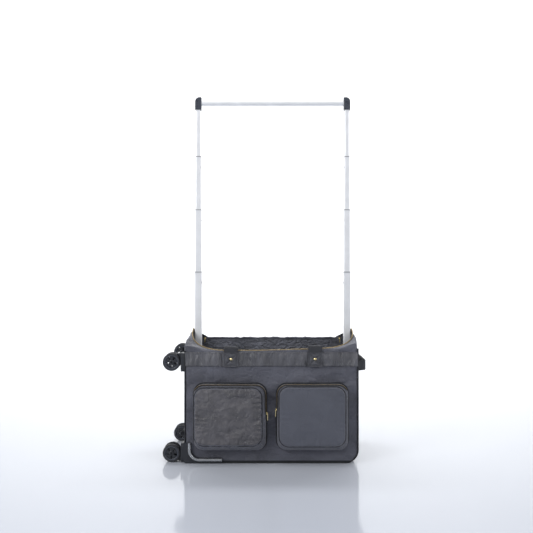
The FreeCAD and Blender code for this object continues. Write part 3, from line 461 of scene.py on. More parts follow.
def lathe(name, profile, centre, axis, material, steps=28):
    """A turned piece: profile points are (distance along the axis, radius)."""
    axis = axis.normalized()
    side = axis.orthogonal().normalized()
    other = axis.cross(side)
    points = []
    for along, radius in profile:
        for k in range(steps):
            angle = 2 * math.pi * k / steps
            spoke = side * math.cos(angle) + other * math.sin(angle)
            points.append(centre + axis * along + spoke * radius)
    faces = ring_faces(steps, len(profile))
    return mesh_piece(name, points, faces, [material])


# ---------------------------------------------------------------- the sewn body
BULGE_TOP = 0.315  # the bulges are widest half way up to here
BULGE_START, BULGE_RISE = 0.006, 0.035  # flat near the base, full above
FRONT_BULGE, FRONT_BULGE_REACH = 0.0026, 0.24
WHEEL_END_BULGE, HANDLE_END_BULGE, END_BULGE_REACH = 0.0050, 0.0035, 0.12
BROAD_FOLD, FINE_FOLD = 0.0042, 0.0018
BROAD_CREASE, FINE_CREASE = 0.0026, 0.0013
FOLD_SHARE = 0.8
BACK_SOFTNESS = 0.35  # the back is stiffer than the other sides
FRONT_RIM_RISE = 0.0062  # the front rim climbs this much towards the handle end
RIM_WAVE = 0.0007
SHOULDER_DROP, SHOULDER_AT_ENDS, SHOULDER_AT_PEAKS = 0.006, 0.0180, 0.0125
BASE_LIFT = 0.0006


def base_inset(height):
    """How far the ends draw in near the base, where the lower corners are rounded."""
    if height >= BASE_RADIUS:
        return 0.0
    return BASE_RADIUS - math.sqrt(BASE_RADIUS ** 2 - (BASE_RADIUS - height) ** 2)


def crumple(u, v, scale):
    """Creases as sharp ridges between soft hollows, from -0.5 to 0.5."""
    warp = 0.35 * ripple(u * scale * 0.5 + 11, v * scale * 0.5, 1.0)
    return 0.5 - 1.7 * abs(ripple(u * scale + warp, v * scale - warp, 4.0))


def sag(x, y, z, normal):
    """How far the stuffed-out fabric stands off its flat pattern at a place."""
    middle = math.sin(math.pi * max(0.0, min(1.0, z / BULGE_TOP)))
    fade = smooth((z - BULGE_START) / BULGE_RISE)
    front = FRONT_BULGE * (1 - (x / FRONT_BULGE_REACH) ** 2) * middle if normal.y < 0 else 0.0
    end_bulge = WHEEL_END_BULGE if normal.x < 0 else HANDLE_END_BULGE
    ends = end_bulge * (1 - (y / END_BULGE_REACH) ** 2) * middle
    soft = BACK_SOFTNESS if normal.y > 0.5 else 1.0
    across = x + y
    folds = BROAD_FOLD * ripple(across * 11, y * 9, z * 17)
    folds += FINE_FOLD * ripple(across * 31 + 3, y * 31, z * 37)
    creases = BROAD_CREASE * crumple(across + z * 0.8, (z - across) * 0.45, 15)
    creases += FINE_CREASE * crumple(across, z, 34)
    return fade * (abs(normal.y) * front + abs(normal.x) * ends + soft * (folds + creases) * FOLD_SHARE)


def front_face(x, z):
    """Y of the outside of the front panel."""
    return FRONT - sag(x, FRONT, z, Vector((0, -1)))


def rim_low(x, y):
    """Height of the mouth's edge along the front or the back."""
    return BACK_RIM if y > 0 else FRONT_RIM + FRONT_RIM_RISE * smooth((x + 0.05) / 0.25)


def rim_height(x, y):
    """Height of the mouth's edge: low along the front and the back, peaked in the middle of both ends."""
    low = rim_low(x, y)
    peak = PEAK + (0.0015 if x > 0 else 0.0020)
    across = min(1.0, abs(y) / MOUTH_HALF_DEPTH)
    wave = RIM_WAVE * ripple(x * 24, y * 24, 5.0)
    return low + (peak - low) * (1 - across) ** (0.32 if y > 0 else 1.2) + wave


def mouth_line():
    """The mouth's edge and its outward directions, from the front left corner anticlockwise."""
    half = (MOUTH_RIGHT - MOUTH_LEFT) / 2
    shift = (MOUTH_RIGHT + MOUTH_LEFT) / 2
    line = []
    for place, out in rounded(half, MOUTH_HALF_DEPTH, MOUTH_RADII, MOUTH_STEPS, 1.7):
        x = place.x + shift
        line.append((Vector((x, place.y, rim_height(x, place.y))), Vector((out.x, out.y, 0))))
    return line


def wall_place(start, out):
    """Where a level line out from the mouth meets the walls, a rectangle with small round corners."""
    near, far = 0.0, 0.25
    for _ in range(30):
        middle = (near + far) / 2
        x, y = start.x + out.x * middle, start.y + out.y * middle
        beyond = Vector((max(0.0, abs(x) - HALF_LENGTH + WALL_CORNER),
                         max(0.0, abs(y) - HALF_DEPTH + WALL_CORNER)))
        if beyond.length > WALL_CORNER:
            far = middle
        else:
            near = middle
    return Vector((start.x + out.x * far, start.y + out.y * far))


def wall_top(place):
    """Height where the walls start to lean in to the mouth: low along the front, higher along the ends."""
    to_end = smooth(1 - (HALF_LENGTH - abs(place.x)) / 0.07)
    to_middle = smooth((HALF_DEPTH - abs(place.y)) / 0.05)
    start = rim_low(place.x, place.y) - SHOULDER_DROP
    return start + SHOULDER_AT_ENDS * to_end + SHOULDER_AT_PEAKS * to_end * to_middle


def make_shell():
    """One lofted bag: flat base, rounded lower corners, soft walls, shoulders leaning in to the mouth."""
    rim = mouth_line()
    walls = [wall_place(place, out) for place, out in rim]
    normals = []
    for wall in walls:
        on_end = smooth((abs(wall.x) - HALF_LENGTH + WALL_CORNER) / WALL_CORNER)
        on_face = smooth((abs(wall.y) - HALF_DEPTH + WALL_CORNER) / WALL_CORNER)
        normal = Vector((math.copysign(on_end, wall.x), math.copysign(on_face, wall.y)))
        normals.append(normal.normalized())
    count = len(rim)

    def level_ring(height, share=1.0):
        squeeze = (HALF_LENGTH - base_inset(height)) / HALF_LENGTH
        return [Vector((wall.x * squeeze * share, wall.y * share, max(BASE_LIFT, height)))
                for wall in walls]

    base_rings = (0.25, 0.55, 0.85)
    rings = [level_ring(0.0, share) for share in base_rings]
    base_steps = 10
    for step in range(base_steps + 1):
        rings.append(level_ring(BASE_RADIUS * (1 - math.cos(math.pi / 2 * step / base_steps))))
    wall_levels = 42
    for level in range(1, wall_levels + 1):
        share = level / wall_levels
        rings.append([Vector((wall.x, wall.y, BASE_RADIUS + (wall_top(wall) - BASE_RADIUS) * share))
                      for wall in walls])
    shoulder_steps = 8
    for step in range(1, shoulder_steps + 1):
        t = step / shoulder_steps
        ring = []
        for wall, (top, out) in zip(walls, rim):
            peak = PEAK - rim_low(top.x, top.y)
            rise = max(0.0, min(1.0, (top.z - rim_low(top.x, top.y)) / peak))
            start = Vector((wall.x, wall.y, wall_top(wall)))
            lift = start + Vector((0, 0, 0.004 + 0.007 * math.sqrt(rise)))
            apart = (Vector((wall.x, wall.y, top.z)) - top).length
            arrive = top + out * (0.25 * apart) + Vector((0, 0, 0.002 * (1 - rise) - 0.014 * rise))
            ring.append(start * (1 - t) ** 3 + lift * (3 * t * (1 - t) ** 2)
                        + arrive * (3 * t * t * (1 - t)) + top * t ** 3)
        rings.append(ring)
    points = []
    last = len(rings) - 1
    for number, ring in enumerate(rings):
        held = 1 - smooth((number - last + shoulder_steps) / shoulder_steps) * 0.85
        for place, normal in zip(ring, normals):
            push = sag(place.x, place.y, place.z, normal) * held if number > len(base_rings) + 1 else 0.0
            points.append(place + Vector((normal.x, normal.y, 0)) * push)
    faces = ring_faces(count, len(rings))
    faces += [face[::-1] for face in cap_faces(0, count)]
    base_line = 0.0100
    indexes = [1 if max(points[v].z for v in face) < base_line else 0 for face in faces]
    shell = mesh_piece("sewn_shell", points, faces, ["nylon", "piping", "lining", "lining"], indexes)
    add_solidify(shell, SHELL_THICKNESS, inner=2, rim=1)
    add_subdivision(shell)
    return finish_piece(shell, "bag",
                        ["front_panel", "back_panel", "base_panel", "wheel_end_panel", "handle_end_panel"])


def make_edge_piping():
    """Black piping round the front face and round the back face."""
    inset = 0.0014
    bend = BASE_RADIUS - inset
    side_x = HALF_LENGTH - inset
    for name, y in (("front", FRONT), ("rear", REAR)):
        tops = {side: wall_top(Vector((side * HALF_LENGTH, y))) - 0.012 for side in (-1, 1)}
        facing = Vector((0, math.copysign(1.0, y)))
        flat = []
        for side in (-1, 1):
            rising = [(side * side_x, BASE_RADIUS + (tops[side] - BASE_RADIUS) * i / 40) for i in range(41)]
            rounding = []
            for i in range(13):
                turn = math.pi / 2 * i / 12
                rounding.append((side * (HALF_LENGTH - BASE_RADIUS + bend * math.sin(turn)),
                                 BASE_RADIUS - bend * math.cos(turn)))
            leg = rounding + rising[1:]
            if side < 0:
                flat += leg[::-1]
                run = HALF_LENGTH - BASE_RADIUS
                flat += [(-run + 2 * run * i / 40, inset) for i in range(1, 40)]
            else:
                flat += leg
        line = []
        for x, z in flat:
            swell = sag(x, y, z, facing) * (0.5 if abs(x) > HALF_LENGTH * 0.98 else 1.0)
            line.append(Vector((x, y + facing.y * (swell + 0.0002), z)))
        bead = cord_line(f"{name}_edge_piping", line, EDGE_PIPING_RADIUS, "piping")
        finish_piece(bead, "bag")


def make_mouth_zip():
    """Teeth and tape of the zip round the mouth, from one rear corner by the front to the other."""
    rim = mouth_line()
    long_steps, short_steps, corner_steps = MOUTH_STEPS
    rear_left = 2 * long_steps + short_steps + 3 * corner_steps - 8
    rear_right = long_steps + short_steps + corner_steps + 8
    span = rim[rear_left:] + rim[:rear_right]
    line = []
    for place, out in span:
        behind = smooth(place.y / 0.03)
        line.append(place + out * (0.0016 * behind) + Vector((0, 0, 0.0006 - 0.0030 * behind)))
    directions = {tuple(place): out for place, (_, out) in zip(line, span)}
    tree = sorted(directions)

    def facing(place):
        nearest = min(tree, key=lambda p: (place - Vector(p)).length_squared)
        return (directions[nearest] * 0.5 + Vector((0, 0, 1))).normalized()

    size = (0.0019, 0.0025, 0.0020)
    teeth = blocks_along("mouth_zip_teeth", [line], TOOTH_PITCH, size, "teeth", facing, TOOTH_STAGGER)
    finish_piece(teeth, "bag", ["mouth_zip"])
    points = []
    for place, out in span:
        for aside, rise in ((0.0014, -0.0004), (0.0, 0.0010), (-0.0018, 0.0006), (-0.0026, -0.010)):
            points.append(place + out * aside + Vector((0, 0, rise)))
    tape = mesh_piece("mouth_zip_tape", points, grid_faces(4, len(span)), ["tape"])
    add_solidify(tape, TAPE_THICKNESS)
    add_subdivision(tape)
    finish_piece(tape, "bag")


# ---------------------------------------------------------------- band, tabs and carry handle
BAND_THICKNESS, BAND_SEAM_INSET = 0.0011, 0.0022
UPRIGHT_CREASE, SHARP_CREASE = 0.0050, 0.0022
TAB_SEAM_INSET, TAB_PUFF, TAB_PUFF_REACH, TAB_UNEVEN = 0.0032, 0.0017, 0.0055, 0.0006
# pitch of the stitches, then the size of one along its seam, across it and off the fabric
BAND_STITCH = (0.0036, (0.0026, 0.0007, 0.0005))
TAB_STITCH = (0.0028, (0.0020, 0.0008, 0.0006))
GRAB_STITCH = (0.0040, (0.0028, 0.0008, 0.0006))


def make_band():
    """Coated band across the front, with upright creases that flatten out towards its edges, and two rows of
    stitches.
    """
    low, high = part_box("front_band")
    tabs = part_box("handle_tabs")
    columns, rows = 240, 13
    points = []
    for r in range(rows):
        v = r / (rows - 1)
        z = low[2] + (high[2] - low[2]) * v
        held = math.sin(math.pi * v) ** 0.6
        for c in range(columns):
            x = low[0] + (high[0] - low[0]) * c / (columns - 1)
            free = 0.55 + 0.45 * smooth((tabs[1][0] - abs(x)) / 0.05)
            upright = UPRIGHT_CREASE * ripple(x * 48 + 0.3 * ripple(x * 9, 1.0, z * 12), 2.0, z * 7)
            sharp = SHARP_CREASE * crumple(x * 2.6, z * 0.7, 24)
            points.append(Vector((x, front_face(x, z) - SKIN - 0.0006 - held * free * (upright + sharp), z)))
    band = mesh_piece("coated_band", points, grid_faces(columns, rows), ["band"])
    add_solidify(band, BAND_THICKNESS)
    add_subdivision(band)
    finish_piece(band, "bag", ["front_band"])
    seams = []
    steps = 120
    for z in (low[2] + BAND_SEAM_INSET, high[2] - BAND_SEAM_INSET):
        places = [low[0] + (high[0] - low[0]) * i / steps for i in range(steps + 1)]
        seams.append([Vector((x, front_face(x, z) - SKIN - 0.0008, z)) for x in places])
    stitches("band_stitches", seams, BAND_STITCH, (0, -1, 0))


def strap_places():
    """Middle X of the two handle straps and the height of their fold over the rim."""
    low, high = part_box("handle_tabs")
    first = low[0] + STRAP_WIDTH / 2
    return ((first, high[2] + 0.0030), (first + STRAP_SPACING, high[2] + 0.0055))


def make_tabs():
    """Two tabs quilted by a boxed star of stitches round a rivet, and the straps that go up over the rim."""
    low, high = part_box("handle_tabs")
    rivet_z = (RIVETS[0][2] + RIVETS[1][2]) / 2
    radius = (RIVETS[1][2] - RIVETS[0][2]) / 2
    half = STRAP_WIDTH / 2
    bottom, upper = low[2], BAND_HIGH - 0.001
    for number, (name, (x, top)) in enumerate(zip(("left", "right"), strap_places())):
        face = min(front_face(x + side * half, rivet_z) for side in (-1, 0, 1)) - SKIN - 0.0030
        edge = TAB_SEAM_INSET
        box = [(-half + edge, bottom + edge), (half - edge, bottom + edge), (half - edge, upper - edge),
               (-half + edge, upper - edge)]
        seams = [(box[k], box[(k + 1) % 4]) for k in range(4)] + [(box[0], box[2]), (box[1], box[3])]

        def seam_distance(u, z):
            best = 1.0
            for (ax, az), (bx, bz) in seams:
                run = Vector((bx - ax, bz - az))
                share = max(0.0, min(1.0, (Vector((u - ax, z - az)) @ run) / run.length_squared))
                best = min(best, (Vector((ax, az)) + run * share - Vector((u, z))).length)
            return best

        columns, rows = 41, 39
        points = []
        for r in range(rows):
            z = bottom + (upper - bottom) * r / (rows - 1)
            for c in range(columns):
                u = -half + STRAP_WIDTH * c / (columns - 1)
                puff = TAB_PUFF * smooth(seam_distance(u, z) / TAB_PUFF_REACH)
                uneven = TAB_UNEVEN * ripple((x + u) * 60, 1.0, z * 60)
                points.append(Vector((x + u, face - puff - uneven, z)))
        tab = mesh_piece(f"{name}_tab", points, grid_faces(columns, rows), ["tab"])
        add_solidify(tab, WEBBING_THICKNESS)
        add_subdivision(tab)
        finish_piece(tab, "bag", ["handle_tabs"] if number == 0 else [])
        lines = [[Vector((x + ax, face - 0.0001, az)), Vector((x + bx, face - 0.0001, bz))]
                 for (ax, az), (bx, bz) in seams]
        stitches(f"{name}_tab_stitches", lines, TAB_STITCH, (0, -1, 0))
        profile = [(-0.0010, radius), (0.0007, radius), (0.0012, radius * 0.92), (0.0013, radius * 0.74),
                   (0.0019, radius * 0.62), (0.0023, radius * 0.35), (0.0024, 0.0001)]
        seat = Vector((x, face - 0.0004, rivet_z))
        rivet = lathe(f"{name}_rivet", profile, seat, Vector((0, -1, 0)), "gold")
        finish_piece(rivet, "bag", ["handle_rivets"] if number == 0 else [])

        front = face + 0.0004
        line = [Vector((x, front, upper - 0.003)), Vector((x, front, upper + 0.001)),
                Vector((x, front + 0.0004, upper + 0.004)), Vector((x, front + 0.0012, top - 0.0062)),
                Vector((x, front + 0.0024, top - 0.0030)), Vector((x, front + 0.0052, top - 0.0012)),
                Vector((x, FRONT + 0.0042, top - 0.0014)), Vector((x, FRONT + 0.0066, top - 0.0034))]
        tilt = Vector((-1, 0, 0.05 if number == 0 else 0.0)).normalized()
        fold = strap(f"{name}_rim_strap", line, [tilt] * len(line), [STRAP_WIDTH] * len(line),
                     [WEBBING_THICKNESS] * len(line), "webbing")
        add_subdivision(fold)
        finish_piece(fold, "bag")


def make_carry_handle():
    """One strap: over the rim at the left tab, down inside the mouth, along, and up to the right tab."""
    low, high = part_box("carry_handle")
    width = STRAP_WIDTH
    depth = (low[1] + high[1]) / 2
    left, right = low[0] + width / 2, high[0] - width / 2
    tops = [top for _, top in strap_places()]
    run = low[2] + 0.016
    bend = 0.024
    line, across = [], []

    def add(place, direction):
        line.append(place)
        across.append(direction)

    for side, x in ((1, left), (-1, right)):
        top = tops[0] if side > 0 else tops[1]
        leg = [(Vector((x, FRONT + 0.0062, top - 0.0030)), Vector((1, 0, 0))),
               (Vector((x, FRONT + 0.0080, top - 0.0065)), Vector((1, 0, 0)))]
        for i in range(6):
            z = top - 0.011 - (top - 0.011 - run - bend) * i / 5
            leg.append((Vector((x, depth + 0.0008 * math.sin(i * 1.3), z)), Vector((1, 0, 0))))
        for i in range(1, 9):
            angle = math.pi / 2 * i / 8
            place = Vector((x + side * bend * (1 - math.cos(angle)), depth,
                            run + bend - bend * math.sin(angle)))
            leg.append((place, Vector((math.cos(angle), 0, side * math.sin(angle)))))
        if side > 0:
            for place, direction in leg:
                add(place, direction)
            start = line[-1].x
            stop = right - bend
            for i in range(1, 24):
                share = i / 24
                add(Vector((start + (stop - start) * share, depth + 0.0015 * math.sin(share * math.pi * 2),
                            run - 0.002 * math.sin(share * math.pi))), Vector((0, 0, 1)))
        else:
            for place, direction in reversed(leg):
                add(place, -direction)
    count = len(line)
    handle = strap("carry_strap", line, across, [width - 0.0006] * count,
                   [WEBBING_THICKNESS] * count, "webbing")
    add_subdivision(handle)
    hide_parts("carry_handle")
    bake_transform(handle)


# ---------------------------------------------------------------- lid
def make_lid():
    """Lid flap folded back over the rear rim and hanging behind the case, with its half of the zip."""
    low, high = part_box("lid_flap")
    columns, rows = 92, 48
    corner = 0.034
    half = (high[0] - low[0]) / 2
    height = high[2] - low[2]
    rest = (low[1] + high[1]) / 2

    def place(u, v):
        """u from -1 to 1 along the rim, v from 0 at the rim to 1 at the free edge."""
        z = high[2] - 0.0015 - (height - 0.0015) * v
        drop = max(0.0, low[2] + corner - z)
        inset = corner - math.sqrt(max(0.0, corner ** 2 - drop ** 2))
        x = u * (half - inset)
        loose = smooth(v / 0.25)
        wave = 0.0016 * ripple(x * 15, 4.0, z * 7) + 0.0008 * ripple(x * 34, 8.0, z * 26)
        return Vector((x, rest + loose * (0.0016 + wave * 1.2), z))

    points = [place(2 * c / (columns - 1) - 1, r / (rows - 1)) for r in range(rows) for c in range(columns)]
    faces = [face[::-1] for face in grid_faces(columns, rows)]
    lid = mesh_piece("lid_sheet", points, faces, ["nylon", "lining"])
    add_solidify(lid, LID_THICKNESS, inner=1)
    add_subdivision(lid)
    finish_piece(lid, "lid", ["lid_flap"])
    edge = [place(-1, i / 60) for i in range(4, 61)]
    edge += [place(-1 + 2 * i / 90, 1) for i in range(1, 90)]
    edge += [place(1, 1 - i / 60) for i in range(57)]
    teeth = blocks_along("lid_zip_teeth", [edge], TOOTH_PITCH, (0.0019, 0.0026, 0.0026), "teeth",
                         lambda p: Vector((p.x * 0.35, 0.001, p.z - 0.30)).normalized(), TOOTH_STAGGER)
    finish_piece(teeth, "lid", ["lid_zip"])
    binding = cord_line("lid_binding", edge, 0.0016, "tape")
    finish_piece(binding, "lid")


def make_rear_fold():
    """Ruffled roll of fabric along the rear rim, where the lid turns over."""
    low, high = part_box("lid_flap")
    pivot_y, pivot_z = (low[1] + high[1]) / 2, high[2]
    steps, around = 260, 12
    points = []
    for i in range(steps + 1):
        share = i / steps
        x = low[0] + 0.012 + (high[0] - low[0] - 0.024) * share
        taper = smooth(min(share, 1 - share) / 0.03) * 0.9 + 0.1
        ruffle = 0.0020 * ripple(x * 34, 1.0, 0.0) + 0.0018 * ripple(x * 88, 5.0, 0.0)
        for k in range(around):
            angle = 2 * math.pi * k / around
            lump = 0.0012 * ripple(x * 70, math.cos(angle) * 2, math.sin(angle) * 2)
            radius = (0.0036 + ruffle * 0.5 + lump) * taper
            points.append(Vector((x, pivot_y - 0.0026 + 1.2 * radius * math.cos(angle),
                                  pivot_z - 0.0016 + ruffle * 0.8 + radius * math.sin(angle))))
    fold = mesh_piece("rear_fold", points, tube_faces(around, steps + 1), ["nylon"])
    add_subdivision(fold)
    finish_piece(fold, "bag")


def make_zip_slider(name, centre, along, out):
    """Slider body with a crown and a bridge loop, sized in millimetres."""
    unit = 0.001
    along, out = along.normalized(), out.normalized()
    across = along.cross(out)
    profile = [(-4.4, 1.2, 0.0), (-4.0, 2.2, 0.9), (-1.5, 3.0, 1.5), (1.5, 3.2, 1.5), (3.8, 3.0, 1.1),
               (4.4, 2.2, 0.0)]
    points = []
    for position, half, crown in profile:
        for i, lift in ((-1, 0.0), (-0.85, 0.7), (-0.4, 1.0), (0.4, 1.0), (0.85, 0.7), (1, 0.0)):
            offset = along * position + across * (i * half) + out * (0.3 + crown * lift)
            points.append(centre + offset * unit)
    faces = grid_faces(6, len(profile))
    body_piece = mesh_piece(name, points, faces, ["gold"])
    add_solidify(body_piece, 0.0007)
    bridge = []
    for i in range(9):
        angle = math.pi * i / 8
        offset = along * (2.8 * math.cos(angle)) + out * (1.6 + 1.5 * math.sin(angle))
        bridge.append(centre + offset * unit)
    loop = cord_line(name + "_bridge", bridge, 0.6 * unit, "gold")
    for item in (body_piece, loop):
        finish_piece(item, "bag")
    return body_piece


def make_lid_sliders():
    """The two sliders parked at the rear ends of the mouth zip, each with a hanging pull tab."""
    low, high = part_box("lid_zip_sliders")
    for name, sign in (("left", -1), ("right", 1)):
        x = low[0] + 0.0035 if sign < 0 else high[0] - 0.0035
        y = low[1] - 0.001
        z = BACK_RIM + 0.001
        centre = Vector((x, y, z))
        slider = make_zip_slider(f"{name}_mouth_slider", centre, Vector((1, 0, 0)), Vector((0, -0.5, 1)))
        if sign < 0:
            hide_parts("lid_zip_sliders")
        line = [centre + Vector((0, -0.0028, 0.0018 - 0.0022 * i)) for i in range(8)]
        widths = [0.0016, 0.0030, 0.0040, 0.0042, 0.0042, 0.0042, 0.0036, 0.0022]
        tab = strap(f"{name}_mouth_pull", line, [Vector((1, 0, 0))] * 8, widths, [0.0011] * 8, "gold")
        finish_piece(tab, "bag")


# ---------------------------------------------------------------- pockets
POCKET_STEPS = (44, 40, 9)
POCKET_RADIUS = 0.026
POCKET_EDGE = 0.0045  # radius of the rolled edge
POCKET_CROWN, POCKET_CROWN_REACH = 0.0026, 0.045
GATHER_PITCH, GATHER_FADE = 0.0150, 0.013
FACE_RING_STEP = 0.0032
# how much smaller a pocket's face is than its seam, on its left, right, bottom and top
LEFT_TAPER = (0.003, 0.012, 0.017, 0.007)
RIGHT_TAPER = (0.006, 0.0095, 0.015, 0.004)


def pocket_line(box, taper, share, inset, y):
    """Outline of a pocket at a depth: share 0 is its seam on the case, 1 its face, smaller by the taper."""
    low, high = box
    left, right, bottom, top = [size * share + inset for size in taper]
    x_low, x_high, z_low, z_high = low[0] + left, high[0] - right, low[2] + bottom, high[2] - top
    half_x, half_z = (x_high - x_low) / 2, (z_high - z_low) / 2
    radius = max(0.0015, min(POCKET_RADIUS - inset, half_x - 0.0005, half_z - 0.0005))
    return [Vector(((x_low + x_high) / 2 + p.x, y, (z_low + z_high) / 2 + p.y))
            for p in outline(half_x, half_z, radius, POCKET_STEPS)]


def pocket_share(y, face):
    """The pocket keeps its size as far as its zip and draws in from there to its face."""
    return smooth(((FRONT - y) / (FRONT - face) - 0.42) / 0.62)


def make_pocket(node, face_material, taper, crumpled, pucker):
    """A boxed pocket: gathered side wall, rolled edge and puffed face, with piping on both of its seams."""
    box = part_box(node)
    low, high = box
    edge = POCKET_EDGE
    front = low[1]
    rim_y = front + edge
    seam = FRONT + 0.002
    rings = []
    side_steps = 11
    for step in range(side_steps):
        y = seam + (rim_y - seam) * step / (side_steps - 1)
        rings.append((pocket_line(box, taper, pocket_share(y, front), 0.0, y), 0.0, 0.0))
    for step in range(1, 4):
        angle = math.pi / 2 * step / 3
        inset = edge * (1 - math.cos(angle))
        rings.append((pocket_line(box, taper, 1.0, inset, rim_y - edge * math.sin(angle)), inset, 0.6))
    face_start = len(rings)
    inset = edge + 0.0024
    face_size = (high[0] - low[0] - taper[0] - taper[1], high[2] - low[2] - taper[2] - taper[3])
    smallest = min(face_size) / 2
    while inset < smallest - 0.004:
        rings.append((pocket_line(box, taper, 1.0, inset, front), inset, 1.0))
        inset += FACE_RING_STEP
    count = len(rings[0][0])
    reach = [0.0]
    first = rings[face_start - 1][0]
    for k in range(count):
        reach.append(reach[-1] + (first[(k + 1) % count] - first[k]).length)
    points = []
    for ring, inset, weight in rings:
        for k, p in enumerate(ring):
            crown = POCKET_CROWN * smooth((inset - edge) / POCKET_CROWN_REACH) - 0.0008
            wave = math.sin(reach[k] * 2 * math.pi / GATHER_PITCH + 5 * ripple(p.x * 18, 3.0, p.z * 18))
            fading = math.exp(-max(0.0, inset - edge) / GATHER_FADE)
            patchy = 0.3 + 1.2 * max(0.0, 0.4 + ripple(p.x * 19, 9.0, p.z * 19))
            gather = pucker * wave * fading * patchy
            folds = crumpled * (ripple(p.x * 20, 1.0, p.z * 20) + 1.3 * crumple(p.x, p.z, 26)
                                + 0.5 * crumple(p.z, p.x, 60) * smooth(1.3 - inset / 0.05))
            points.append(p - Vector((0, weight * (crown + gather + folds), 0)))
    faces = ring_faces(count, len(rings))
    faces += cap_faces((len(rings) - 1) * count, count)
    indexes = [0 if i < count * (face_start - 2) else 1 for i in range(len(faces))]
    pocket = mesh_piece(f"{node}_shell", points, faces, ["nylon", face_material], indexes)
    add_subdivision(pocket)
    finish_piece(pocket, "bag", [node])
    face_line = pocket_line(box, taper, 1.0, -0.0004, rim_y + 0.0006)
    bead = cord_line(f"{node}_face_piping", face_line, FACE_PIPING_RADIUS, "piping", closed=True)
    finish_piece(bead, "bag")
    seam_line = [Vector((p.x, front_face(p.x, p.z) - 0.0012, p.z))
                 for p in pocket_line(box, taper, 0.0, -0.0012, FRONT)]
    bead = cord_line(f"{node}_seam_piping", seam_line, SEAM_PIPING_RADIUS, "piping", closed=True)
    finish_piece(bead, "bag")


def make_pocket_zip(node, middle_side, taper):
    """Closed gold zip over the top of a pocket and down its middle side to the slider."""
    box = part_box(node)
    low, high = box
    zip_low, zip_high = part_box("pocket_zips")
    y = (zip_low[1] + zip_high[1]) / 2
    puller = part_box(f"{node}_puller")
    slider_z = puller[1][2] + 0.002
    line = pocket_line(box, taper, pocket_share(y, low[1]), -0.0010, y)
    long_steps, short_steps, corner_steps = POCKET_STEPS
    start = long_steps + corner_steps
    end = 2 * long_steps + 2 * short_steps + 3 * corner_steps
    centre = Vector(((low[0] + high[0]) / 2, y, (low[2] + high[2]) / 2))
    span = []
    for p in line[start:end]:
        near_middle = (p.x - centre.x) * middle_side > 0
        if p.z > (slider_z if near_middle else high[2] - 0.017):
            span.append(p)

    def outside(place):
        return Vector((place.x - centre.x, -0.02, place.z - centre.z)).normalized()

    teeth = blocks_along(f"{node}_zip_teeth", [span], 0.0019, (0.0012, 0.0040, 0.0010), "teeth", outside)
    finish_piece(teeth, "bag", ["pocket_zips"] if middle_side > 0 else [])
    points = []
    for p in span:
        out = outside(p)
        for lift, aside in ((-0.0010, -0.0050), (0.0002, -0.0024), (0.0002, 0.0024), (0.0, 0.0050)):
            points.append(p + out * lift + Vector((0, aside, 0)))
    tape = mesh_piece(f"{node}_zip_tape", points, grid_faces(4, len(span)), ["tape"])
    add_solidify(tape, TAPE_THICKNESS)
    finish_piece(tape, "bag")
    x = (puller[0][0] + puller[1][0]) / 2 - middle_side * 0.0036
    make_zip_slider(f"{node}_slider", Vector((x, y, slider_z - 0.002)), Vector((0, 0, -1)),
                    Vector((middle_side, 0, 0)))


# ---------------------------------------------------------------- grab handle and trolley bezel
def make_grab_handle():
    """Padded webbing handle across the handle end."""
    low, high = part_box("end_grab_handle")
    z = (low[2] + high[2]) / 2
    width = high[2] - low[2]
    seat, stand = low[0] + 0.0016, high[0] - 0.0030
    steps = 60
    line, widths, thicknesses = [], [], []
    for i in range(steps + 1):
        y = low[1] + (high[1] - low[1]) * i / steps
        rise = smooth((0.0775 - abs(y)) / 0.022)
        pad = smooth((0.054 - abs(y)) / 0.010)
        line.append(Vector((seat + (stand - seat) * rise - 0.0012 * pad, y, z)))
        widths.append(width * (0.90 + 0.10 * pad))
        thicknesses.append(0.0026 + 0.0050 * pad)
    handle = strap("grab_strap", line, [Vector((0, 0, 1))] * len(line), widths, thicknesses, "webbing")
    add_subdivision(handle)
    finish_piece(handle, "grab_loop", ["end_grab_handle"])
    edge_rows = []
    for offset in (-0.40, 0.40):
        edge_rows.append([Vector((p.x + t / 2, p.y, z + offset * w))
                          for p, t, w in zip(line, thicknesses, widths)][4:-4])
    stitches("grab_stitches", edge_rows, GRAB_STITCH, (1, 0, 0), body="grab_loop")


def make_trolley_bezel():
    """Moulded plate round the trolley tubes where they come out of the handle end."""
    low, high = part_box("trolley_outer_tubes")
    centre_y, centre_z = (low[1] + high[1]) / 2, (low[2] + high[2]) / 2
    bore = (high[1] - low[1]) / 2
    half_y, half_z = bore + 0.003, (high[2] - low[2]) / 2 + 0.004
    corner, steps = 0.010, (10, 40, 8)
    plate = []
    for lift, grow in ((-0.001, 0.0), (0.0012, 0.0), (0.0022, -0.0010), (0.0024, -0.0026)):
        ring = outline(half_y + grow, half_z + grow, corner, steps)
        plate.append([Vector((RIGHT + lift, centre_y + p.x, centre_z + p.y)) for p in ring])
    rim = 0.0052
    inner = outline(half_y - rim, half_z - rim, 0.0078, steps)
    plate.append([Vector((RIGHT + 0.0012, centre_y + p.x, centre_z + p.y)) for p in inner])
    count = len(inner)
    points = [p for ring in plate for p in ring]
    faces = ring_faces(count, len(plate))
    bezel = mesh_piece("trolley_bezel", points, faces, ["plastic"])
    add_solidify(bezel, 0.0008)
    finish_piece(bezel, "bag")
    for name, z in (("low", low[2] + bore), ("high", high[2] - bore)):
        outer, inner = bore + 0.0030, bore + 0.0003
        profile = [(-0.001, outer), (0.0030, outer), (0.0040, bore + 0.0022), (0.0042, inner),
                   (-0.001, inner)]
        seat = Vector((RIGHT, centre_y, z))
        ring = lathe(f"trolley_ring_{name}", profile, seat, Vector((1, 0, 0)), "plastic")
        finish_piece(ring, "bag")


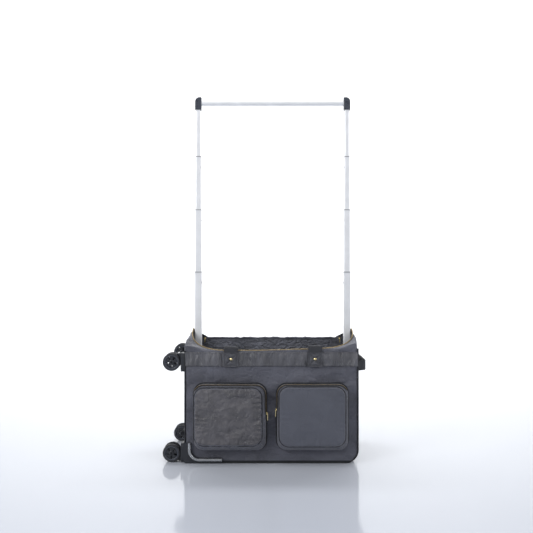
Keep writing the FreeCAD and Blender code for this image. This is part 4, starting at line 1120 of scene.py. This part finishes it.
# ---------------------------------------------------------------- rack collars
def make_collars():
    """A thin moulded collar on the top of each outer tube."""
    for leg in ("left", "right"):
        for stage in range(4):
            low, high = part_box(f"{leg}_rack_tube_{stage}")
            centre = Vector(((low[0] + high[0]) / 2, (low[1] + high[1]) / 2, high[2]))
            half = (high[0] - low[0]) / 2
            next_low, next_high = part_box(f"{leg}_rack_tube_{stage + 1}")
            inside = (next_high[0] - next_low[0]) / 2 + 0.00012
            outer = half + 0.0009
            levels = ((inside, 0.0012, 0.0023), (half + 0.0003, 0.0012, 0.0026), (outer, 0.0006, 0.0030),
                      (outer, -0.0010, 0.0030), (half + 0.00005, -0.0010, 0.0026))
            points = []
            for size, lift, radius in levels:
                points += [centre + Vector((p.x, p.y, lift)) for p in outline(size, size, radius, (4, 4, 5))]
            count = len(points) // len(levels)
            faces = [face[::-1] for face in ring_faces(count, len(levels))]
            collar = mesh_piece(f"{leg}_collar_{stage}", points, faces, ["collar"])
            finish_piece(collar, "bag" if stage == 0 else f"{leg}_stage_{stage}")


# ---------------------------------------------------------------- caster wheels
CASTERS = ("upper_front", "upper_rear", "lower_front", "lower_rear")
# half profiles of a disc's turned parts, as shares of its width and of its radius
TREAD = ((0.46, 0.80), (0.46, 0.94), (0.34, 0.985), (0.10, 1.0))
RIM = ((0.36, 0.66), (0.50, 0.72), (0.50, 0.79), (0.44, 0.82))
HUB = ((0.50, 0.02), (0.50, 0.17), (0.40, 0.26), (0.26, 0.30))


def turned_ring(profile, centre, steps=48):
    """Points and faces of a closed profile of (along Y, radius) turned about the wheel's axle."""
    points = []
    for along, radius in profile:
        for k in range(steps):
            angle = 2 * math.pi * k / steps
            points.append(centre + Vector((radius * math.cos(angle), along, radius * math.sin(angle))))
    faces = []
    for level in range(len(profile)):
        following = (level + 1) % len(profile)
        for k in range(steps):
            beyond = (k + 1) % steps
            faces.append((level * steps + k, following * steps + k, following * steps + beyond,
                          level * steps + beyond))
    return points, faces


def both_sides(half, width, radius):
    """A closed profile of (along Y, radius) from half of it, beginning with the mirrored first point."""
    mirrored = [(-u, r) for u, r in half]
    whole = mirrored[:1] + list(half) + mirrored[:0:-1]
    return [(width * u, radius * r) for u, r in whole]


def spoke_web(centre, inner, outer, half_width, spokes=5, share=0.66):
    """Broad spokes with see-through gaps between them."""
    points, faces = [], []
    steps = 6
    for spoke in range(spokes):
        middle = 2 * math.pi * spoke / spokes + math.pi / 2
        first = len(points)
        for i in range(steps + 1):
            angle = middle + share * math.pi / spokes * (2 * i / steps - 1)
            for radius in (inner, outer):
                for side in (-1, 1):
                    points.append(centre + Vector((radius * math.cos(angle), side * half_width,
                                                   radius * math.sin(angle))))
        for i in range(steps):
            a = first + 4 * i
            faces += [(a, a + 4, a + 6, a + 2), (a + 1, a + 3, a + 7, a + 5), (a, a + 1, a + 5, a + 4),
                      (a + 2, a + 6, a + 7, a + 3)]
        b = first + 4 * steps
        faces += [(first, first + 2, first + 3, first + 1), (b, b + 1, b + 3, b + 2)]
    return points, faces


def make_wheels():
    """Twin discs of each caster: rubber tread, a raised rim in lighter slate plastic as a painted highlight,
    broad spokes and a capped hub.
    """
    for name in CASTERS:
        node = f"{name}_caster_wheel"
        low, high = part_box(node)
        radius = (high[2] - low[2]) / 2
        middle = (low[1] + high[1]) / 2
        inner_face = max(v.co.y for v in NODES[node].data.vertices if v.co.y < middle)
        width = inner_face - low[1]
        points, faces, indexes = [], [], []
        for disc_y in (low[1] + width / 2, high[1] - width / 2):
            centre = Vector(((low[0] + high[0]) / 2, disc_y, (low[2] + high[2]) / 2))
            parts = [(turned_ring(both_sides(half, width, radius), centre), index)
                     for index, half in enumerate((TREAD, RIM, HUB))]
            parts.append((spoke_web(centre, radius * 0.27, radius * 0.70, width * 0.28), 2))
            for (part_points, part_faces), index in parts:
                first = len(points)
                points += part_points
                faces += [tuple(first + v for v in face) for face in part_faces]
                indexes += [index] * len(part_faces)
        # The rim ring takes the lighter slate plastic as a painted highlight.
        wheel = mesh_piece(f"{name}_discs", points, faces, ["rubber", "cap", "plastic"], indexes)
        add_bevel(wheel, 0.0005)
        finish_piece(wheel, f"{name}_wheel", [node])


# ---------------------------------------------------------------- carried-over CAD nodes
def paint(node, material, bevel=0.0):
    item = NODES[node]
    item.data.materials.clear()
    item.data.materials.append(MATERIALS[material])
    if bevel:
        add_bevel(item, bevel)


def paint_nodes():
    for name in CASTERS:
        paint(f"{name}_caster_fork", "plastic", 0.0009)
        paint(f"{name}_caster_axle", "plastic", 0.0003)
    for leg in ("left", "right"):
        for stage in range(5):
            paint(f"{leg}_rack_tube_{stage}", "aluminium")
        for stage in range(4):
            paint(f"{leg}_snap_button_{stage}", "steel", 0.0004)
    for node in ("hanging_bar", "trolley_outer_tubes", "trolley_inner_tubes"):
        paint(node, "aluminium")
    for node, width in (("corner_guards", 0.0012), ("caster_cups", 0.0012), ("wheel_chassis", 0.0006),
                        ("rack_brackets", 0.0008), ("trolley_grip", 0.0012)):
        paint(node, "plastic", width)
    paint("bar_caps", "cap", 0.0008)
    paint("guard_rails", "silver")
    paint("trolley_button", "silver", 0.0008)
    paint("left_pocket_puller", "gold", 0.0003)
    paint("right_pocket_puller", "gold", 0.0003)


# ---------------------------------------------------------------- floor, light and camera
def make_stage():
    """Glossy pale floor that curves up into a backdrop; its colour is painted darker towards the camera as
    painted shade.
    """
    half_width, sink = 12.0, 0.0006
    flat_end, bend, height = 2.6, 2.2, 8.0
    profile = [(-5.0, 0.0), (flat_end, 0.0)]
    for i in range(1, 33):
        angle = math.pi / 2 * i / 32
        profile.append((flat_end + bend * math.sin(angle), bend * (1 - math.cos(angle))))
    profile.append((flat_end + bend, height))
    points = []
    for y, z in profile:
        points += [Vector((-half_width, y, z - sink)), Vector((half_width, y, z - sink))]
    shade = Shade("floor", "studio_floor", (0.60, 0.62, 0.68), 0.60, coat=1.0)
    shade.shader.inputs["Coat Roughness"].default_value = 0.10
    shade.shader.inputs["Coat IOR"].default_value = 1.7
    depth = shade.node("ShaderNodeSeparateXYZ")
    shade.link(shade.place, depth.inputs[0])
    # Coat weight fades out with distance; the base colour goes from dark near the camera to pale far off,
    # which is painted shade.
    fades = (("Coat Weight", 0.6, 2.2, (1, 1, 1, 1), (0, 0, 0, 1)),
             ("Base Color", -0.6, 3.2, (0.43, 0.455, 0.515, 1), (0.90, 0.905, 0.91, 1)))
    for target, near, far, low, high in fades:
        reach = shade.node("ShaderNodeMapRange")
        reach.inputs["From Min"].default_value = near
        reach.inputs["From Max"].default_value = far
        shade.link(depth.outputs["Y"], reach.inputs["Value"])
        shade.link(shade.ramp(reach.outputs["Result"], low, high, 0.0, 1.0), shade.shader.inputs[target])
    mesh = bpy.data.meshes.new("studio_floor")
    mesh.from_pydata([tuple(p) for p in points], [], grid_faces(2, len(profile)))
    mesh.materials.append(shade.material)
    mesh.polygons.foreach_set("use_smooth", [True] * len(mesh.polygons))
    floor = bpy.data.objects.new("studio_floor", mesh)
    bpy.context.scene.collection.objects.link(floor)


def add_area(name, place, target, size, power, reflected=True):
    light = bpy.data.lights.new(name, "AREA")
    light.shape = "RECTANGLE"
    light.size, light.size_y = size
    light.energy = power
    item = bpy.data.objects.new(name, light)
    item.location = place
    item.visible_glossy = reflected
    item.rotation_euler = (Vector(target) - Vector(place)).to_track_quat("-Z", "Y").to_euler()
    bpy.context.scene.collection.objects.link(item)


def make_light():
    world = bpy.data.worlds.new("studio")
    world.use_nodes = True
    background = world.node_tree.nodes["Background"]
    background.inputs["Color"].default_value = (0.95, 0.97, 1.0, 1)
    background.inputs["Strength"].default_value = 0.50
    bpy.context.scene.world = world
    add_area("top_softbox", (0.1, -0.5, 2.6), (0, 0, 0.3), (1.8, 1.4), 14, reflected=False)
    add_area("left_softbox", (-2.1, -1.7, 1.7), (0, 0, 0.25), (0.7, 1.5), 40)
    add_area("right_softbox", (2.2, -1.3, 1.5), (0, 0, 0.25), (0.8, 1.6), 16)
    add_area("backdrop_light", (0.0, 2.0, 3.8), (0, 3.6, 0.6), (7.0, 1.2), 240, reflected=False)


def make_camera():
    camera = bpy.data.cameras.new("camera")
    view_width, distance, height = 1.467, 1.62, 0.541
    middle = -0.0138
    camera.sensor_width = 36
    camera.angle = 2 * math.atan(view_width / 2 / distance)
    item = bpy.data.objects.new("camera", camera)
    item.location = (middle, FRONT - distance, height)
    item.rotation_euler = (math.radians(90), 0, 0)
    bpy.context.scene.collection.objects.link(item)
    bpy.context.scene.camera = item


make_camera()
make_shell()
make_edge_piping()
make_mouth_zip()
make_band()
make_tabs()
make_carry_handle()
make_rear_fold()
make_lid()
make_lid_sliders()
make_pocket("left_pocket", "coated", LEFT_TAPER, crumpled=0.0026, pucker=0.0013)
make_pocket("right_pocket", "woven", RIGHT_TAPER, crumpled=0.0008, pucker=0.0006)
make_pocket_zip("left_pocket", 1, LEFT_TAPER)
make_pocket_zip("right_pocket", -1, RIGHT_TAPER)
make_wheels()
make_grab_handle()
make_trolley_bezel()
make_collars()
paint_nodes()
make_stage()
make_light()
bpy.context.scene.view_settings.view_transform = "Standard"
